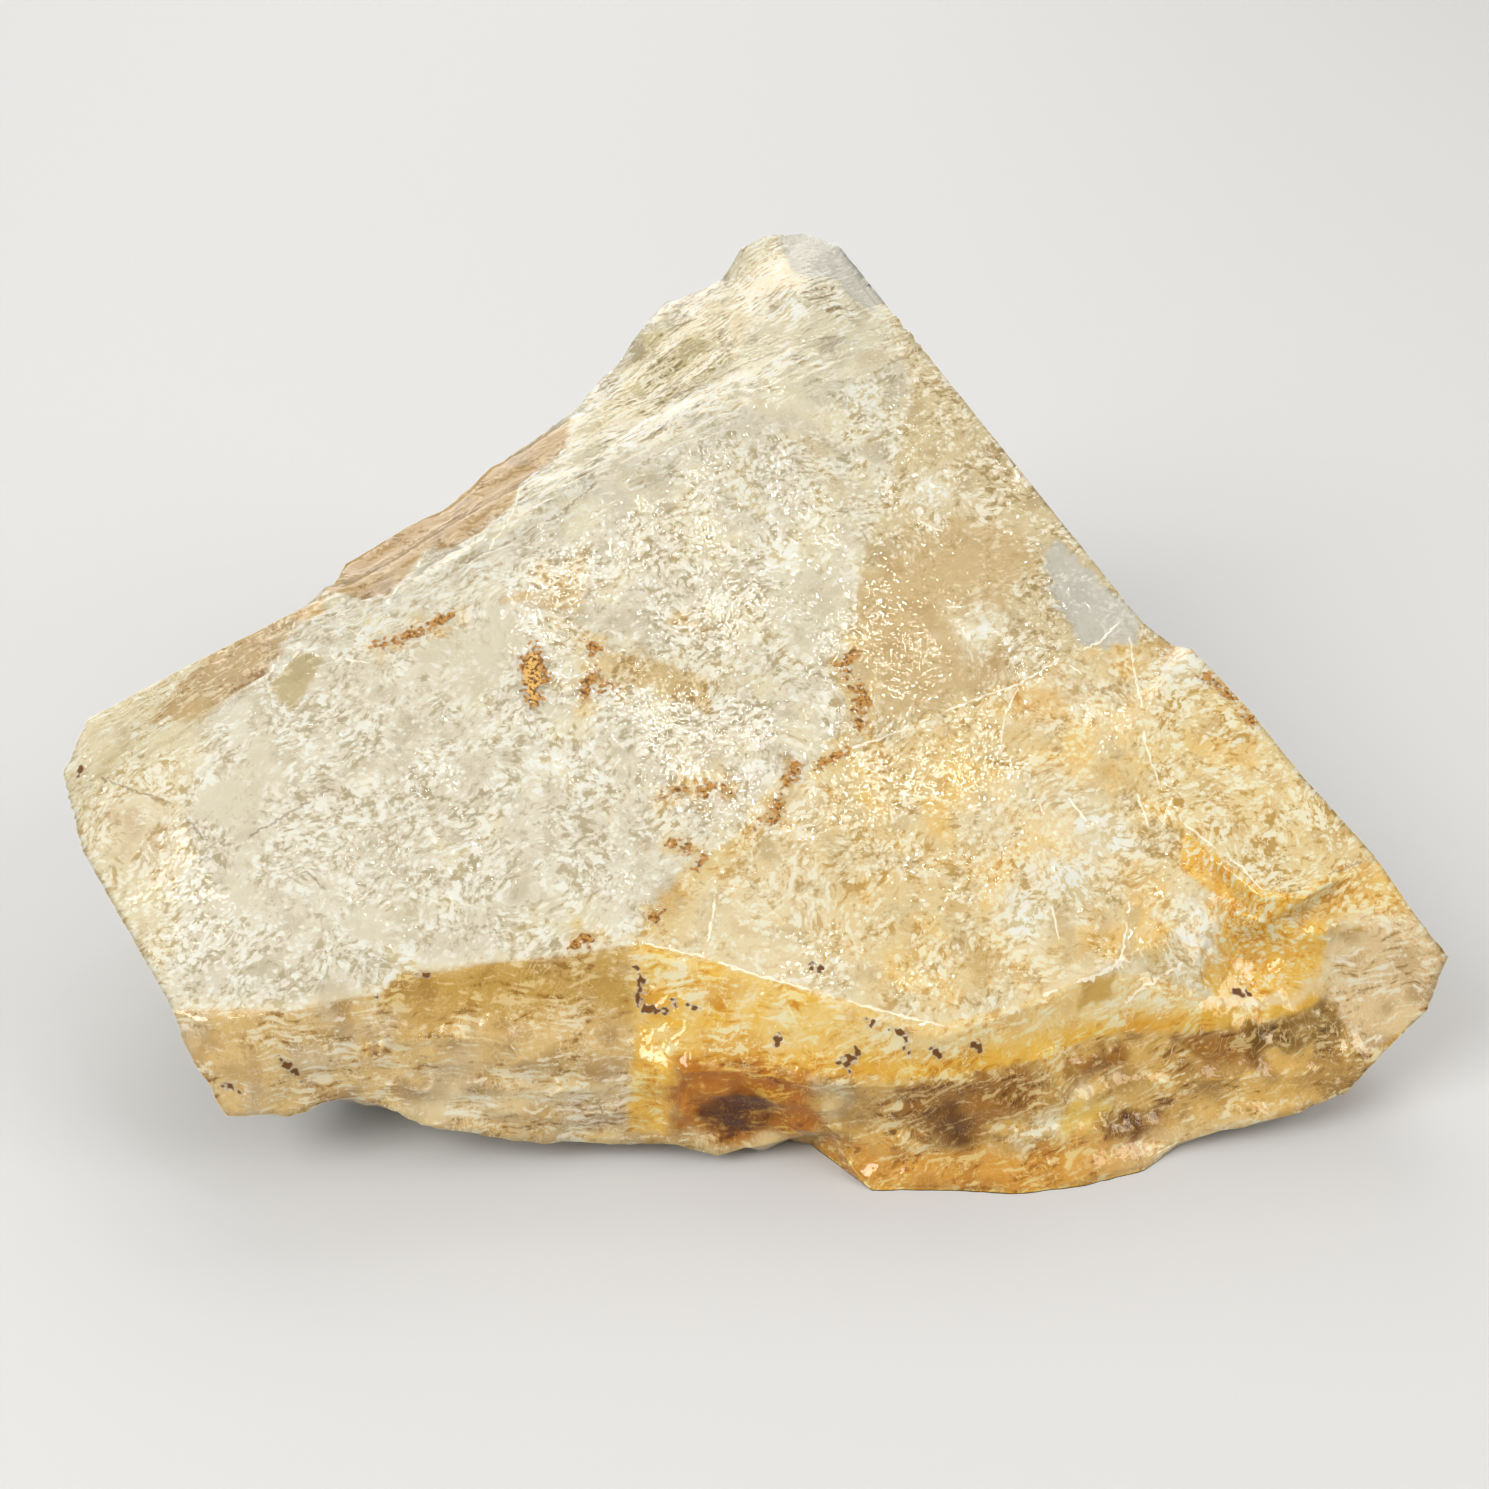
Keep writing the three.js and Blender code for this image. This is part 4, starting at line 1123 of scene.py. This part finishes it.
def veilLook():
    look = Look("veil")
    fine = look.grain(look.place, flecks["fineSize"], 1.0)
    shade = look.attribute("shade")
    busy = look.attribute("busy")
    shortPlace = look.attribute("short", "Vector")
    longPlace = look.attribute("long", "Vector")
    # broken bits, each as bright as chance has it, more of them where the soft grain is high
    bits, fromMiddle = look.cells(shortPlace)
    seam = look.step(fromMiddle, *flecks["seam"])
    soft = look.grain(shortPlace, flecks["softSize"], 2.0, 0.6)
    streak = look.grain(longPlace, flecks["streakSize"], 1.0, 0.6)
    short = look.axes(bits)[0] * flecks["bitsShare"] + soft + fine * flecks["fineShare"]
    short = short - seam * flecks["seamShare"] - flecks["shortLevel"]
    long = streak * flecks["streakShare"] + fine * flecks["streakFine"] - flecks["streakLevel"]
    level = short + (long - short) * look.attribute("streaky")
    level = (level - 0.5) * busy + look.attribute("lift")
    thread = look.step(look.maths("ABSOLUTE", soft - flecks["threadLevel"]), *flecks["thread"])
    thread = thread * busy * flecks["threadShare"]
    vein = look.step(look.maths("ABSOLUTE", soft - flecks["veinLevel"]), *flecks["vein"])
    vein = vein * look.step(shade, *flecks["veinShade"]) * busy * flecks["veinShare"]
    shadow = look.step(shade, *flecks["shadow"]) * flecks["shadowShare"]
    gap = look.most(look.step(level, *flecks["dark"]), vein, shadow)
    bright = look.most(look.step(level, *flecks["bright"]), thread)
    tints = [look.attribute(name, "Color") for name in ("bodyTint", "darkTint", "brightTint")]
    paint = look.colour(look.colour(tints[0], tints[1], gap), tints[2], bright)
    return look.finish(look.principled(Base_Color=paint, Roughness=0.7, Specular_IOR_Level=0.0))


body = crystalPiece()
body.data.materials.append(crystalLook())
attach(body, "root")
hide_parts("quartz_crystal")
print("crystal made:", len(body.data.polygons), "faces")

heart = veilPiece(body)
heart.data.materials.append(veilLook())
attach(heart, "root")
print("veil made:", len(heart.data.polygons), "faces")

studio = {
    "floorSize": 4.0,
    "floorColour": srgb(188, 187, 185),
    "aim": (0, 0, 0.02),  # where the lights point
    "sky": (0.36, 0.80),  # at the horizon and overhead
    "lights": [  # name, place, power, size, colour
        ("key", (-0.40, -0.34, 0.44), 3.6, 0.36, (1.0, 1.0, 1.0)),
        ("fill", (0.50, -0.20, 0.36), 1.7, 0.36, (1.0, 0.99, 0.98)),
        ("back", (-0.10, 0.52, 0.42), 2.0, 0.52, (1.0, 1.0, 1.0)),
        ("glint", (0.05, 0.05, 0.60), 0.12, 0.03, (1.0, 1.0, 1.0)),
    ],
}


def studioFloor():
    bm = bmesh.new()
    bmesh.ops.create_grid(bm, x_segments=1, y_segments=1, size=studio["floorSize"] / 2)
    floor = meshObject("floor", bm)
    look = Look("floor_paint")
    paint = look.principled(Base_Color=(*studio["floorColour"], 1), Roughness=0.7)
    floor.data.materials.append(look.finish(paint))


def studioLights():
    for name, where, power, size, colour in studio["lights"]:
        lamp = bpy.data.lights.new(name, "AREA")
        lamp.energy = power
        lamp.size = size
        lamp.color = colour
        light = bpy.data.objects.new(name, lamp)
        light.location = where
        towards = Vector(studio["aim"]) - light.location
        light.rotation_euler = towards.to_track_quat("-Z", "Y").to_euler()
        bpy.context.scene.collection.objects.link(light)
    world = bpy.data.worlds.new("studio")
    world.use_nodes = True
    tree = world.node_tree
    where = tree.nodes.new("ShaderNodeTexCoord")
    axes = tree.nodes.new("ShaderNodeSeparateXYZ")
    height = tree.nodes.new("ShaderNodeMapRange")
    height.inputs["To Min"].default_value, height.inputs["To Max"].default_value = studio["sky"]
    tree.links.new(where.outputs["Generated"], axes.inputs[0])
    tree.links.new(axes.outputs["Z"], height.inputs["Value"])
    tree.links.new(height.outputs[0], tree.nodes["Background"].inputs["Strength"])
    tree.nodes["Background"].inputs["Color"].default_value = (1, 1, 1, 1)
    bpy.context.scene.world = world


studioFloor()
studioLights()
bpy.context.scene.view_settings.view_transform = "Standard"
print("studio made")

shot = {
    "lens": 52,
    "sensor": 36,
    "distance": 175 * mm,
    "elevation": 32,
    "target": (0.1 * mm, -4.89 * mm, 18 * mm),
    "nearest": 0.01,
}


def shotCamera():
    lens = bpy.data.cameras.new("shot")
    lens.lens = shot["lens"]
    lens.sensor_width = shot["sensor"]
    lens.clip_start = shot["nearest"]
    tilt = math.radians(shot["elevation"])
    target = Vector(shot["target"])
    camera = bpy.data.objects.new("shot", lens)
    camera.location = target + shot["distance"] * Vector((0, -math.cos(tilt), math.sin(tilt)))
    camera.rotation_euler = (math.pi / 2 - tilt, 0, 0)
    bpy.context.scene.collection.objects.link(camera)
    bpy.context.scene.camera = camera


shotCamera()
